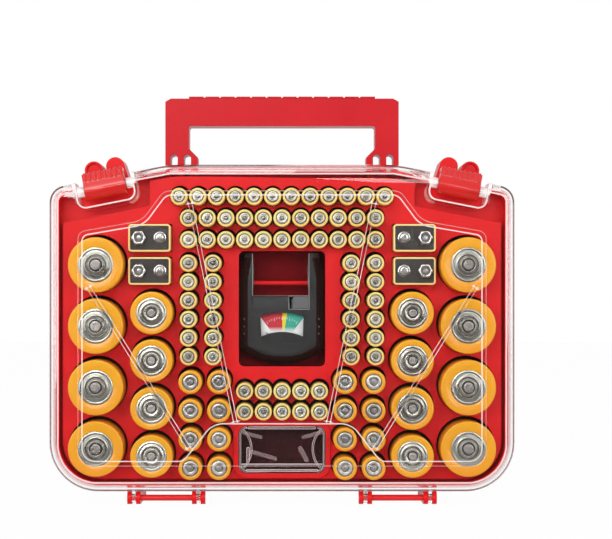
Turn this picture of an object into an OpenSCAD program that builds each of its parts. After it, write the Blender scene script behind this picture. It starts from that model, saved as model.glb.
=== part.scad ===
// Upright storage case for household cells: a red moulded body with a well for every cell,
// a clear lid hinged along the bottom, two tilted latches at the top corners, a carrying handle,
// a cell tester in a pocket of its own and a clear insert for coin cells.
//
// Every part is drawn in the case's own frame: X to the right, Y up from the ground and
// Z forward from the back of the case. stand() then sets that frame upright, with the front
// facing -Y, the ground at Z = 0 and the origin under the middle of the case.

/* [Case body] */
// Height of the red body, from its underside to the middle of its top
body_h = 190.9; // [190.5:0.1:200]
// Height of the ribs and hinge brackets that the case stands on
stand_h = 11.8; // [10.5:0.1:16]
// Half the width of the level middle of the top edge
top_half_w = 67; // [62:0.5:74]
// Slope of the top edge and latches at each corner, in degrees
top_tilt = 11.2; // [9:0.1:13]
// Radius of the bottom corners
corner_r = 27; // [18:0.5:34]
// Radius of the shoulders at the top corners
shoulder_r = 8; // [7.5:0.25:12]
// Wall thickness of the red mouldings
wall = 1.8; // [1.4:0.1:2.2]
// Thickness of the back panel
back_t = 2.2; // [1.8:0.1:2.5]
// Radius of the edge round the back
back_r = 4; // [3:0.25:6]
// Depth at which the back shell meets the tray
seam_d = 24; // [20:0.5:25]
// Depth of the tray's rim, where the lid closes on it
rim_d = 50; // [49:0.25:52]
// Depth of the deck that the wells open in
deck_d = 46; // [45:0.25:47]
// Thickness of the deck
deck_t = 2; // [1.6:0.1:2.6]
// Distance from the body's side to the edge of the deck
deck_inset = 3.6; // [3.2:0.1:4.4]
// Depth of the channel and of the sunken corners below the deck
sunk_h = 8; // [6:0.5:10]
// Distance from the middle of a latch to the inner side of its sunken corner
sunk_reach = 25.3; // [24:0.1:29.5]
// Distance from the sloping top edge down to the foot of a sunken corner
sunk_drop = 18.8; // [17:0.2:20]

/* [Cells] */
// Diameter of a D cell
d_dia = 33.2; // [32.4:0.1:33.6]
// Length of a D cell, with its button
d_len = 61.5; // [60:0.1:61.8]
// Diameter of a C cell
c_dia = 25.6; // [24.9:0.1:26]
// Length of a C cell, with its button
c_len = 50; // [48:0.1:50.5]
// Diameter of an AA cell
aa_dia = 14.2; // [13.7:0.1:14.4]
// Length of an AA cell, with its button
aa_len = 50.5; // [48:0.1:51]
// Diameter of an AAA cell
aaa_dia = 10.4; // [9.9:0.1:10.5]
// Length of an AAA cell, with its button
aaa_len = 44.5; // [42:0.1:45]
// Width of a 9 V block
block_w = 25.4; // [24.5:0.1:25.8]
// Thickness of a 9 V block
block_h = 16.6; // [15.8:0.1:17]
// Length of a 9 V block, with its terminals
block_len = 48.5; // [46:0.1:49]
// Radius of the steel end that a D cell's jacket leaves bare
d_mouth_r = 10.6; // [9.5:0.1:13]
// Radius of the steel end that a C cell's jacket leaves bare
c_mouth_r = 9.3; // [8:0.1:10.5]
// Radius of the steel end that an AA cell's jacket leaves bare
aa_mouth_r = 5.3; // [4.8:0.1:5.8]
// Radius of the steel end that an AAA cell's jacket leaves bare
aaa_mouth_r = 3.9; // [3.4:0.1:4.2]
// Radius of a D cell's button
d_button_r = 3.5; // [3:0.1:4.7]
// Radius of a C cell's button
c_button_r = 3; // [2.6:0.1:3.7]
// Radius of an AA cell's button
aa_button_r = 2.2; // [1.9:0.1:2.7]
// Radius of an AAA cell's button
aaa_button_r = 1.5; // [1.3:0.1:1.9]
// Height of the button on a D or C cell
big_button_h = 1.5; // [1:0.1:1.8]
// Height of the button on an AA or AAA cell
small_button_h = 1; // [0.8:0.1:1.3]
// Height of a 9 V block's terminals
terminal_h = 2.4; // [2:0.1:2.9]
// Distance between the middles of a 9 V block's terminals
terminal_pitch = 12.7; // [12.5:0.05:12.9]
// Width of the metal edge round a 9 V block's top
block_edge = 0.8; // [0.5:0.1:1.2]

/* [Wells] */
// Room round a D cell, on the diameter
d_room = 1.6; // [1:0.1:1.9]
// Room round a C cell, on the diameter
c_room = 1.5; // [1:0.1:1.8]
// Room round an AA cell, on the diameter
aa_room = 1.8; // [1:0.1:2]
// Room round an AAA cell, on the diameter
aaa_room = 1.2; // [1:0.1:1.5]
// Room round a 9 V block, on its width and thickness
block_room = 0.7; // [0.5:0.1:1]
// Wall of a well below the deck
cup_t = 1.1; // [0.9:0.1:1.3]
// Red web between two D wells in a column
d_web = 1.9; // [1.6:0.1:2.6]
// Red web between two C wells in a column
c_web = 1.5; // [1.2:0.1:2.2]
// Red web between two AA wells
aa_web = 1.2; // [1:0.1:1.6]
// Pitch of the AAA wells along a row; they run into each other
aaa_pitch = 11.25; // [11:0.05:11.4]
// Pitch from one long AAA row to the next
aaa_row_pitch = 13; // [12.9:0.1:13.4]
// Pitch between the two AAA columns beside the tester
aaa_column_pitch = 14.7; // [13.5:0.1:15.2]
// Pitch between the two short AAA rows under the tester
aaa_block_pitch = 12.3; // [12:0.1:12.8]
// Distance from the body's side to the D wells
d_side = 8; // [7.6:0.1:9]
// Distance from the body's underside to the lowest D well
d_foot = 6.4; // [6:0.1:8]
// Distance from the body's underside to the lowest C well
c_foot = 5.7; // [5.5:0.1:7]
// Distance from the body's underside to the lowest AA well
aa_foot = 4.2; // [4:0.1:4.6]
// Gap between the D wells and the C wells beside them
dc_gap = 2.3; // [1.6:0.1:2.6]
// Gap between the C wells and the AA wells beside them
ca_gap = 1.6; // [1.2:0.1:2]
// Gap between the AA wells and the frame of the coin cell insert
coin_gap = 0.4; // [0.2:0.1:1]
// Distance from the top of the body to the first AAA row
row_drop = 16; // [15.6:0.1:16.4]
// Distance from the C column to the 9 V column
block_shift = 1.6; // [1:0.1:2]
// Web between the two 9 V wells
block_web = 2.6; // [2:0.1:3.2]
// Clearance under a resting cell
seat_gap = 0.1; // [0.05:0.05:0.2]
// Clearance between the lid and the D cells' buttons
lid_room = 1.3; // [1:0.1:2]
// How much lower the C cells stand than the D cells
c_set = 1.4; // [0.5:0.1:3]
// How much lower the AA cells stand than the D cells
aa_set = 2.9; // [1:0.1:5]
// How much lower the AAA cells stand than the D cells
aaa_set = 5.4; // [3:0.1:7]
// How much lower the 9 V blocks stand than the D cells
block_set = 5.4; // [3:0.1:7]

/* [Lid] */
// Wall thickness of the clear lid
lid_t = 1.9; // [1.5:0.1:2.2]
// Clearance between the lid's skirt and the tray's rim
lid_gap = 0.3; // [0.2:0.05:0.4]
// How far the skirt reaches back over the rim
lid_lap = 3; // [2:0.1:3.4]
// Radius of the lid's front edge
lid_r = 5; // [3:0.25:6.5]
// Height of the lid's raised panel
panel_rise = 1; // [0.6:0.1:1.4]
// Height of the beads on the raised panel
bead_h = 0.6; // [0.4:0.05:1]
// Width of the beads on the raised panel
bead_w = 2; // [1.4:0.1:2.6]
// Distance from the lid's side to the raised panel
panel_side = 18; // [16:0.5:22]
// Distance from the lid's underside to the raised panel
panel_foot = 15.6; // [14:0.2:18]
// Distance from the lid's top to the raised panel
panel_top = 16.6; // [15:0.2:20]
// Width of the step round the raised panel
panel_step = 2.3; // [1.5:0.1:3]
// Distance from the middle of a latch to the panel's neck
panel_neck = 26.2; // [25:0.2:28]
// Distance from the sloping top edge down to the panel's shoulder
panel_drop = 31.2; // [30:0.2:33]
// Width of the plaque at its foot
plaque_w = 108; // [100:1:114]
// Height of the plaque
plaque_h = 21; // [18:0.5:24]
// Height of the outer beads' tops above the panel's foot
outer_bead_h = 106.3; // [95:0.5:115]
// Distance from the panel's top down to the inner beads' tops
inner_bead_drop = 6.8; // [5:0.1:12]

/* [Latches] */
// Distance from the body's side to the middle of each latch
latch_side = 31; // [30:0.2:33]
// Distance from the sloping top edge down to the latch's pin
latch_drop = 3.5; // [3:0.1:4]
// Width of a latch
latch_w = 24.8; // [23:0.2:26]
// Radius of the rounded foot of a latch
latch_r = 6.3; // [6:0.1:6.6]
// Height of a latch above its pin
latch_top = 9.8; // [9.5:0.1:10.4]
// Wall thickness of a latch
latch_t = 2.4; // [2:0.1:2.6]
// Diameter of a latch's pin
latch_pin_dia = 2.4; // [2:0.1:2.8]
// Number of finger ribs along a latch's top
latch_ribs = 8; // [5:1:9]
// Radius of a finger rib
latch_rib_r = 0.9; // [0.6:0.1:1.1]
// Clearance between moving or seated pieces
fit_gap = 0.3; // [0.2:0.05:0.4]
// Radial clearance of a pin in the bore that turns on it
pin_gap = 0.05; // [0.02:0.01:0.08]
// Room between a latch and the lid's notch, at each side
notch_room = 4.5; // [4:0.1:5]
// Room between a latch's foot and the lid's notch
notch_foot = 3.6; // [3.4:0.1:4.2]
// Radius of the notch's inner corners
notch_r = 4.6; // [3:0.2:6]
// Radius of the round stops behind a latch
stop_r = 5.6; // [5:0.1:6]
// Pitch of the two round stops
stop_pitch = 13.2; // [12.6:0.1:14]
// Height of the round stops above the latch's pin
stop_rise = 12.3; // [11.5:0.1:13.5]

/* [Hinge] */
// Diameter of a hinge pin
hinge_pin_dia = 3.7; // [3:0.1:4]
// Height of the hinge pins above the ground
hinge_z = 3.9; // [3.7:0.05:4.4]
// Distance from the middle of the case to the middle of each bracket
bracket_x = 70.2; // [66:0.2:76]
// Width of a bracket over its outer posts
bracket_w = 47.2; // [42:0.2:52]
// Thickness of a bracket's posts
post_t = 2.7; // [2.2:0.1:3.2]
// Width of the gap that a lid knuckle turns in
knuckle_w = 2.6; // [2.2:0.1:3.4]

/* [Handle] */
// Width of the handle
handle_w = 142.4; // [138:0.2:146]
// Height of the handle above the body
handle_rise = 44.2; // [38:0.2:52]
// Height of the handle's grip bar
bar_h = 16.7; // [14:0.1:20]
// Width of the handle's legs
leg_w = 14.4; // [13:0.1:15]
// Depth of the handle, front to back
handle_d = 16; // [13:0.5:17]
// Depth from the back of the case to the back of the handle
handle_back = 26; // [25.5:0.25:27]
// Width that each foot gains inwards
foot_spread = 5.4; // [4.5:0.1:6]
// Width of the slots in the feet
slot_w = 4.3; // [3:0.1:4.6]
// Height of the ribbed pad on top of the grip
pad_h = 1.4; // [0.8:0.1:2]
// Number of grooves across the ribbed pad
pad_grooves = 11; // [5:1:15]

/* [Tester] */
// Width of the tester
tester_w = 51; // [49:0.2:51.4]
// Height of the tester
tester_h = 67; // [65:0.2:68]
// Thickness of the tester
tester_d = 18; // [16:0.2:19]
// Depth of the tester's front
tester_front_d = 50; // [48.5:0.25:51]
// Wall thickness of the tester
tester_t = 1.6; // [1.2:0.1:1.8]
// Width of the gap that takes a cell
test_gap_w = 33.9; // [32:0.1:34.5]
// Depth of the gap from the tester's top
test_gap_h = 25.4; // [23:0.1:26]
// Shift of the gap from the tester's middle
test_gap_shift = -0.75; // [-1:0.05:0]
// Height of the dial window
window_h = 11.5; // [9:0.1:12]
// Width of the dial window
window_w = 26; // [22:0.1:28]
// Travel of the tester's slider
slider_travel = 2.2; // [1.5:0.1:2.4]
// Length of the contacts at the sides of the gap
contact_h = 14; // [10:0.5:18]
// Width of the contacts, front to back
contact_w = 10; // [7:0.5:12]

/* [Coin cell insert] */
// Width of the raised frame round the insert
coin_frame_w = 58.8; // [57:0.2:59]
// Height of the raised frame round the insert
coin_frame_h = 34.6; // [33:0.2:34.8]
// Width of the frame's own band
coin_frame_t = 3; // [2.4:0.1:3.4]
// How far the frame stands above the deck
coin_frame_rise = 1.4; // [0.8:0.1:2]
// Depth of the insert
coin_d = 11; // [8:0.2:13]
// Wall thickness of the insert
coin_t = 1.2; // [1:0.1:1.6]

/* [Hidden] */
$fn = 48;

// Radii of the cells and of their wells
d_r = d_dia / 2;
c_r = c_dia / 2;
aa_r = aa_dia / 2;
aaa_r = aaa_dia / 2;
d_well = d_r + d_room / 2;
c_well = c_r + c_room / 2;
aa_well = aa_r + aa_room / 2;
aaa_well = aaa_r + aaa_room / 2;
block_well_w = block_w + block_room;
block_well_h = block_h + block_room;

// Places of the columns of wells, from the coin cell insert outwards
aa_pitch = 2 * aa_well + aa_web;
aa_x = coin_frame_w / 2 + coin_gap + aa_well + aa_pitch;
c_x = aa_x + aa_well + ca_gap + c_well;
d_x = c_x + c_well + dc_gap + d_well;

// Places of the body's edges
half_w = d_x + d_well + d_side;
foot_y = stand_h;
top_y = stand_h + body_h;
shoulder_y = top_y - (half_w - top_half_w) * tan(top_tilt);
function slope_y(x) = top_y - (x - top_half_w) * tan(top_tilt);

// The body's outline, anticlockwise, and the radius of each of its corners
plateau_r = 60;
OUTLINE = [
    [-half_w, foot_y], [half_w, foot_y], [half_w, shoulder_y],
    [top_half_w, top_y], [-top_half_w, top_y], [-half_w, shoulder_y]
];
RADII = [corner_r, corner_r, shoulder_r, plateau_r, plateau_r, shoulder_r];
CORNERS = len(OUTLINE);

// Places of the lid in depth
cell_top_d = back_t + seat_gap * 2 + cup_t + d_len;
lid_face_d = cell_top_d + lid_room + lid_t;
lid_back_d = rim_d - lid_lap;
lid_out = lid_gap + lid_t;
total_d = lid_face_d + panel_rise + bead_h;
sunk_d = deck_d - sunk_h;
hinge_d = lid_back_d - 0.5;

// Depth of each kind of cell's base
d_base = cell_top_d - d_len;
c_base = cell_top_d - c_set - c_len;
aa_base = cell_top_d - aa_set - aa_len;
aaa_base = cell_top_d - aaa_set - aaa_len;
block_base = cell_top_d - block_set - block_len;

// Places of the wells on the left half; the right half mirrors them
block_x = c_x + block_shift;
d_pitch = 2 * d_well + d_web;
c_pitch = 2 * c_well + c_web;
block_pitch = block_well_h + block_web;
column_count = 4;
D_PLACES = [for (i = [0:column_count - 1]) [-d_x, foot_y + d_foot + d_well + i * d_pitch]];
C_PLACES = [for (i = [0:column_count - 1]) [-c_x, foot_y + c_foot + c_well + i * c_pitch]];
AA_PLACES = [
    for (j = [0, 1], i = [0:column_count - 1])
        [-aa_x + j * aa_pitch, foot_y + aa_foot + aa_well + i * aa_pitch]
];

// Places of the AAA wells: three long rows, two columns at each side, and a block of two rows
row_y = top_y - row_drop;
last_row_y = row_y - 2 * aaa_row_pitch;
row_counts = [12, 11, 11];
TOP_PLACES = [
    for (j = [0:2], i = [0:row_counts[j] - 1])
        [(i - (row_counts[j] - 1) / 2) * aaa_pitch, row_y - j * aaa_row_pitch]
];
side_count = 6;
SIDE_PLACES = [
    for (j = [0, 1], i = [0:side_count - 1])
        [-5 * aaa_pitch + j * aaa_column_pitch, last_row_y - 14.1 - i * aaa_pitch]
];
pocket_top = last_row_y - aaa_well - 1.2;
pocket_h = tester_h + 3;
pocket_w = tester_w + 1.4;
pocket_y = pocket_top - pocket_h;
under_count = 5;
under_y = pocket_y - 14.1;
UNDER_PLACES = [
    for (j = [0, 1], i = [0:under_count - 1])
        [(i - (under_count - 1) / 2) * aaa_pitch, under_y - j * aaa_block_pitch]
];
BLOCK_PLACES = [for (i = [0, 1]) [-block_x, last_row_y + 0.9 - i * block_pitch]];

// Places of the tester's pieces
tester_y = pocket_y + 1.4;
tester_top = tester_y + tester_h;
tester_back_d = tester_front_d - tester_d;
tester_seam_d = tester_front_d - tester_d / 2;
gap_floor = tester_top - test_gap_h;
bowl_r = 40;
window_y = tester_y + 19.6;
dial_r = 41.3;
dial_y = window_y + window_h - dial_r;
needle_y = tester_y + 11;
needle_len = 19;
dial_t = 0.8;
dial_d = tester_front_d - tester_t - 2.6;
meter_r = 7;
shaft_r = 1.2;
needle_rest = 50;
ledge_h = 9.4;
pocket_step = 4;
pocket_r = 3.3;
contact_t = 0.5;
contact_rise = 5;
contact_back = 4;
slot_x = 4.3;
slot_h = 8.2;
slider_w = 9.2;

// Places of the coin cell insert
coin_top = UNDER_PLACES[len(UNDER_PLACES) - 1][1] - aaa_well - 1;
coin_mid = coin_top - coin_frame_h / 2;
coin_w = coin_frame_w - 2 * coin_frame_t;
coin_h = coin_frame_h - 2 * coin_frame_t;
coin_r = 5;
coin_floor_d = deck_d - coin_d;

// Places of the latches
latch_x = half_w - latch_side;
sunk_x = latch_x - sunk_reach;
latch_y = slope_y(latch_x) - latch_drop;
latch_d = lid_face_d - latch_r - 1.3;
notch_half = latch_w / 2 + notch_room;
notch_low = latch_r + notch_foot;
hook_in = latch_top - latch_t;
boss_t = 3;
keeper_half = latch_w / 2 - boss_t - fit_gap * 2;
ear_r = 3.2;
ear_gap = 0.5;

// Places of the raised panel's edges
panel_half = half_w + lid_out - panel_side;
panel_low = foot_y - lid_out + panel_foot;
panel_high = top_y + lid_out - panel_top;
plaque_y = panel_low + panel_step;
plaque_slant = 6.5;
plaque_r = 8;
OUTER_BEAD = [[6 - panel_half, panel_low + outer_bead_h], [2 - plaque_w / 2, plaque_y + 3]];
INNER_BEAD = [
    [-plaque_w / 2 - 0.6, panel_high - inner_bead_drop],
    [-plaque_w / 4 - 0.5, plaque_y + plaque_h]
];

// Places of the screws that hold the back shell to the tray
screw_r = 1.5;
screw_head_r = 2.5;
screw_head_h = 2;
screw_seat_d = 14;
screw_len = 18;
boss_r = 3.7;
pilot_boss_r = 2.9;
SCREWS = [
    [-half_w + 20, shoulder_y - 18], [half_w - 20, shoulder_y - 18],
    [-(d_x + c_x) / 2, foot_y + 5.8], [(d_x + c_x) / 2, foot_y + 5.8],
    [0, top_y - wall - 3.2], [0, coin_mid]
];

// Places of the handle
handle_half = handle_w / 2;
handle_top = top_y + handle_rise;
foot_half = handle_half - leg_w - foot_spread;
window_r = 1.3;
foot_rise = 8.3;
tang_depth = 7.2;
barb_out = 1.1;
barb_drop = 3.4;
slot_rise = 10;
SLOTS = [handle_half - 5.4, handle_half - 13.5];

// Places of the hinge brackets, from their middle outwards
bracket_half = bracket_w / 2;
rod_half = bracket_half - 2 * post_t - knuckle_w;
POSTS = [bracket_half - post_t, rod_half];
knuckle_x = rod_half + post_t;
rib_back_d = 4;
far = 300;

// The case's frame, set upright
module stand() {
    translate([0, total_d / 2, 0]) rotate([90, 0, 0]) children();
}

// A flat layer of a front view, from one depth to another
module slab(from, to) {
    translate([0, 0, from]) linear_extrude(to - from) children();
}

// A side view, forward and up, drawn out from one place across the case to another
module across(from, to) {
    translate([to, 0, 0]) rotate([0, -90, 0]) linear_extrude(to - from) children();
}

// The same thing at both sides
module both() {
    children();
    mirror([1, 0, 0]) children();
}

// One thing at each of a list of places
module at(places) {
    for (p = places) translate(p) children();
}

// Moves to a latch's pin on the left: X along the pin, Y up the tilted face, Z forward
module at_latch() {
    translate([-latch_x, latch_y, latch_d]) rotate(top_tilt) children();
}

// Working out of the rounded outline
function unit(v) = v / norm(v);
function edge_dir(i) = unit(OUTLINE[(i + 1) % CORNERS] - OUTLINE[i % CORNERS]);
function inward(i) = let (e = edge_dir(i)) [-e[1], e[0]];
function centre(i) =
    let (a = inward(i + CORNERS - 1), b = inward(i), k = i % CORNERS)
        OUTLINE[k] + (a + b) * RADII[k] / (1 + a * b);
function touch(corner, edge, inset) =
    centre(corner) - inward(edge) * (RADII[corner % CORNERS] - inset);

// The body's outline, moved inwards
module outline(inset) {
    polygon([for (i = [0:CORNERS - 1], k = [CORNERS - 1, 0]) touch(i, i + k, inset)]);
    for (i = [0:CORNERS - 1]) translate(centre(i)) circle(RADII[i] - inset);
}

// A solid of the outline with a rounded front edge
module pillow(inset, from, to, r) {
    hull() {
        slab(from, to - r) outline(inset, $fn = 64);
        for (a = [18:18:90])
            slab(to - r + r * sin(a) - 0.01, to - r + r * sin(a))
                outline(inset + r * (1 - cos(a)), $fn = 64);
    }
}

// A rectangle with round corners, about its middle
module rounded(w, h, r) {
    square([w - 2 * r, h], center = true);
    square([w, h - 2 * r], center = true);
    for (x = [-1, 1], y = [-1, 1]) translate([x * (w / 2 - r), y * (h / 2 - r)]) circle(r);
}

// A bar from one point to another
module bar(a, b, w) {
    translate(a) rotate(atan2(b[1] - a[1], b[0] - a[0])) translate([0, -w / 2])
        square([norm(b - a), w]);
}

// Points along an arc about a centre
function arc(c, r, from, to, steps = 8) =
    [for (i = [0:steps]) let (a = from + (to - from) * i / steps) c + r * [cos(a), sin(a)]];

// The notch for a latch, about its pin, grown outwards
module notch(grow) {
    half = notch_half + grow;
    low = notch_low + grow;
    r = notch_r + grow;
    translate([-half, r - low]) square([2 * half, 3 * low]);
    translate([r - half, -low]) square([2 * (half - r), 3 * low]);
    for (x = [-1, 1]) translate([x * (half - r), r - low]) circle(r);
}

// The sunken corner at the left, grown outwards
module sunk(grow) {
    low = slope_y(sunk_x) - sunk_drop - grow;
    x = grow - sunk_x;
    polygon([[x, low], [x, far], [-far, far], [-far, low - (far + x) * tan(top_tilt)]]);
}

// A cell standing on its base: jacket, pressed steel end with its groove, and button
module cell(r, length, mouth_r, button_r, button_h) {
    h = length - button_h;
    boss = button_r + 0.4 * (mouth_r - button_r);
    rotate_extrude() polygon([
        [0, 0], [r - 0.5, 0], [r, 0.5], [r, h - 0.9], [r - 0.5, h], [mouth_r, h],
        [mouth_r, h - 0.7], [boss + 0.3, h - 0.5], [boss, h - 0.2], [button_r, h - 0.2],
        [button_r, length - 0.3], [button_r - 0.3, length], [0, length]
    ]);
}

// Cells lying in their wells, each resting on the lower side of its own
module cells(places, base, r, well, length, mouth_r, button_r, button_h) {
    translate([0, r + seat_gap - well, base])
        at(places) cell(r, length, mouth_r, button_r, button_h);
}

// A 9 V block standing on its base, with its two snap terminals
module block_cell() {
    body = block_len - terminal_h;
    edge_r = 2;
    difference() {
        slab(0, body) rounded(block_w, block_h, edge_r);
        slab(body - 0.4, far)
            rounded(block_w - 2 * block_edge, block_h - 2 * block_edge, edge_r - block_edge);
    }
    // The socket and the stud
    translate([-terminal_pitch / 2, 0, body - 1]) difference() {
        cylinder(h = terminal_h + 0.8, r = 4.2, $fn = 6);
        translate([0, 0, 1.4]) cylinder(h = terminal_h, r = 2.9);
    }
    translate([terminal_pitch / 2, 0, body - 1]) cylinder(h = terminal_h + 1, r = 2.9);
}

module blocks() {
    translate([0, (block_h - block_well_h) / 2 + seat_gap, block_base])
        at(BLOCK_PLACES) block_cell();
}

// Floors and walls behind the deck, before the wells are cut
module well_blocks() {
    slab(d_base - cup_t - seat_gap, deck_d - 1) at(D_PLACES) circle(d_well + cup_t);
    slab(c_base - cup_t - seat_gap, deck_d - 1) at(C_PLACES) circle(c_well + cup_t);
    slab(aa_base - cup_t - seat_gap, deck_d - 1) at(AA_PLACES) circle(aa_well + cup_t);
    slab(block_base - cup_t - seat_gap, deck_d - 1)
        at(BLOCK_PLACES) square([block_well_w, block_well_h] + 2 * [cup_t, cup_t], center = true);
    slab(aaa_base - cup_t - seat_gap, deck_d - 1)
        translate([(SIDE_PLACES[0][0] + SIDE_PLACES[side_count][0]) / 2,
            (SIDE_PLACES[0][1] + SIDE_PLACES[side_count - 1][1]) / 2])
            square([aaa_column_pitch, (side_count - 1) * aaa_pitch]
                + 2 * (aaa_well + cup_t) * [1, 1], center = true);
}

// Everything that is hollow in the left half of the deck
module wells() {
    slab(d_base - seat_gap, far) at(D_PLACES) circle(d_well);
    slab(c_base - seat_gap, far) at(C_PLACES) circle(c_well);
    slab(aa_base - seat_gap, far) at(AA_PLACES) circle(aa_well);
    slab(aaa_base - seat_gap, far) at(SIDE_PLACES) circle(aaa_well);
    slab(block_base - seat_gap, far)
        at(BLOCK_PLACES) rounded(block_well_w, block_well_h, 1.5);
}

// The blocks behind the long AAA rows and behind the short ones, on the middle line
module middle_blocks() {
    row_w = row_counts[0] * aaa_pitch + 2 * cup_t;
    slab(aaa_base - cup_t - seat_gap, deck_d - 1)
        translate([-row_w / 2, last_row_y - aaa_well - cup_t])
            square([row_w, 2 * (aaa_row_pitch + aaa_well + cup_t)]);
    slab(aaa_base - cup_t - seat_gap, deck_d - 1)
        translate([0, under_y - aaa_block_pitch / 2])
            square([(under_count - 1) * aaa_pitch, aaa_block_pitch]
                + 2 * (aaa_well + cup_t) * [1, 1], center = true);
    slab(tester_back_d - pocket_step - wall, deck_d - 1)
        translate([0, pocket_y + pocket_h / 2])
            square([pocket_w + 2 * cup_t, pocket_h + 2 * cup_t], center = true);
    slab(coin_floor_d - wall, deck_d + coin_frame_rise)
        translate([0, coin_mid]) rounded(coin_frame_w, coin_frame_h, coin_r + coin_frame_t);
}

// Everything that is hollow on the middle line
module middle_wells() {
    slab(aaa_base - seat_gap, far) at(TOP_PLACES) circle(aaa_well);
    slab(aaa_base - seat_gap, far) at(UNDER_PLACES) circle(aaa_well);
    // The tester's pocket, with a deeper floor behind the upper part of the tester's gap
    slab(tester_back_d - fit_gap, far)
        translate([0, pocket_y + pocket_h / 2]) rounded(pocket_w, pocket_h, pocket_r);
    slab(tester_back_d - pocket_step, far) intersection() {
        translate([0, pocket_y + pocket_h / 2]) rounded(pocket_w, pocket_h, pocket_r);
        translate([-far, gap_floor + ledge_h]) square([2 * far, far]);
    }
    slab(coin_floor_d, far) translate([0, coin_mid]) rounded(coin_w, coin_h, coin_r);
}

// The part of the rim under a latch, with its keeper and the two round stops behind it
module latch_seat() {
    front = rim_d - latch_d;
    intersection() {
        at_latch() slab(sunk_d - latch_d - deck_t, front) notch(-fit_gap);
        slab(0, far) outline(0);
    }
    at_latch() across(-keeper_half, keeper_half) {
        translate([front - 1, 0.8]) square([-front - 1.4, 2]);
        translate([-4.4, 0.8]) square([2, 4.2]);
        translate([-3.4, 5]) circle(1);
    }
    at_latch() slab(seam_d + 1 - latch_d, front - 1)
        for (x = [-0.45, 0.55]) translate([x * stop_pitch, 0]) {
            translate([0, stop_rise]) circle(stop_r);
            polygon([[-stop_pitch / 2 - 0.4, 0], [stop_pitch / 2 + 0.4, 0],
                [stop_r, stop_rise], [-stop_r, stop_rise]]);
        }
}

// One hinge post, seen from the side, with the rib that it becomes behind
module post_side(from) {
    translate([hinge_d, hinge_z]) circle(hinge_z);
    translate([from, 0]) square([hinge_d - from, foot_y + wall / 2]);
}

// The posts of the left bracket, from one depth forward
module posts() {
    for (side = [-1, 1], x = POSTS) {
        low = side < 0 ? -x - post_t : x;
        across(low - bracket_x, low + post_t - bracket_x)
            post_side(x == rod_half ? seam_d : hinge_d - hinge_z);
    }
}

module hinge_bore(r) {
    translate([-bracket_x, hinge_z, hinge_d]) rotate([0, 90, 0])
        cylinder(h = bracket_w + 2, r = r, center = true);
}

// The handle's feet, as the holes that take them
module handle_sockets(grow) {
    slab(handle_back - grow, handle_back + handle_d + grow)
        translate([-handle_half - grow, top_y - tang_depth - 0.6])
            square([handle_half - foot_half + 2 * grow, far]);
}

module tray_half() {
    well_blocks();
    slab(sunk_d - deck_t, deck_d) intersection() {
        outline(deck_inset);
        difference() {
            sunk(wall);
            sunk(0);
        }
    }
    slab(sunk_d - deck_t, sunk_d) intersection() {
        outline(wall / 2);
        sunk(0);
    }
    latch_seat();
    posts();
}

module tray() {
    color("#d0141c") stand() difference() {
        union() {
            slab(seam_d, rim_d) difference() {
                outline(0);
                outline(wall);
            }
            slab(sunk_d - deck_t, sunk_d) difference() {
                outline(wall / 2);
                outline(deck_inset + wall / 2);
            }
            difference() {
                union() {
                    slab(sunk_d - deck_t, deck_d) difference() {
                        outline(deck_inset);
                        outline(deck_inset + wall);
                    }
                    slab(deck_d - deck_t, deck_d) outline(deck_inset);
                }
                both() slab(sunk_d, far) sunk(0);
            }
            middle_blocks();
            both() tray_half();
            for (p = SCREWS) translate(p) slab(seam_d, sunk_d - 1) circle(pilot_boss_r);
        }
        both() wells();
        middle_wells();
        // Room for the lid's notch walls where they cross the rim
        both() at_latch() slab(lid_back_d - fit_gap - latch_d, far) difference() {
            notch(lid_t + fit_gap);
            notch(-fit_gap);
        }
        // The latch seats are hollow from behind
        both() at_latch() slab(sunk_d - 2 * deck_t - latch_d, rim_d - wall - latch_d)
            intersection() {
                notch(-fit_gap - wall);
                translate([-far, -far]) square([2 * far, far - wall]);
            }
        // The outer stop is dished
        both() at_latch() translate([-0.45 * stop_pitch, stop_rise, rim_d - 3 - latch_d])
            cylinder(h = 4, r = stop_r - 1.2);
        both() hinge_bore(hinge_pin_dia / 2 + pin_gap);
        both() handle_sockets(fit_gap);
        for (p = SCREWS) translate(p)
            slab(seam_d - 1, screw_seat_d + screw_len + 0.5) circle(screw_r + pin_gap);
    }
}

module back_shell() {
    color("#c8121a") stand() difference() {
        union() {
            translate([0, 0, seam_d]) mirror([0, 0, 1]) difference() {
                pillow(0, 0, seam_d, back_r);
                pillow(wall, -1, seam_d - back_t, back_r - wall);
            }
            for (p = SCREWS) translate(p) slab(back_t / 2, seam_d) circle(boss_r);
            both() for (side = [-1, 1]) {
                low = side < 0 ? -rod_half - post_t : rod_half;
                across(low - bracket_x, low + post_t - bracket_x)
                    translate([rib_back_d, 0]) square([seam_d - rib_back_d, foot_y + wall / 2]);
            }
        }
        for (p = SCREWS) translate(p) {
            slab(-1, screw_seat_d) circle(screw_head_r + fit_gap);
            slab(-1, far) circle(screw_r + fit_gap);
        }
    }
}

module case_screws() {
    color("#9a9da0") stand() for (p = SCREWS) translate(p) difference() {
        union() {
            slab(screw_seat_d - screw_head_h, screw_seat_d) circle(screw_head_r);
            slab(screw_seat_d - 1, screw_seat_d + screw_len) circle(screw_r);
        }
        // Cross recess in the head
        translate([0, 0, screw_seat_d - screw_head_h]) for (a = [0, 90])
            rotate(a) cube([3.2, 0.7, 2], center = true);
    }
}

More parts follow.
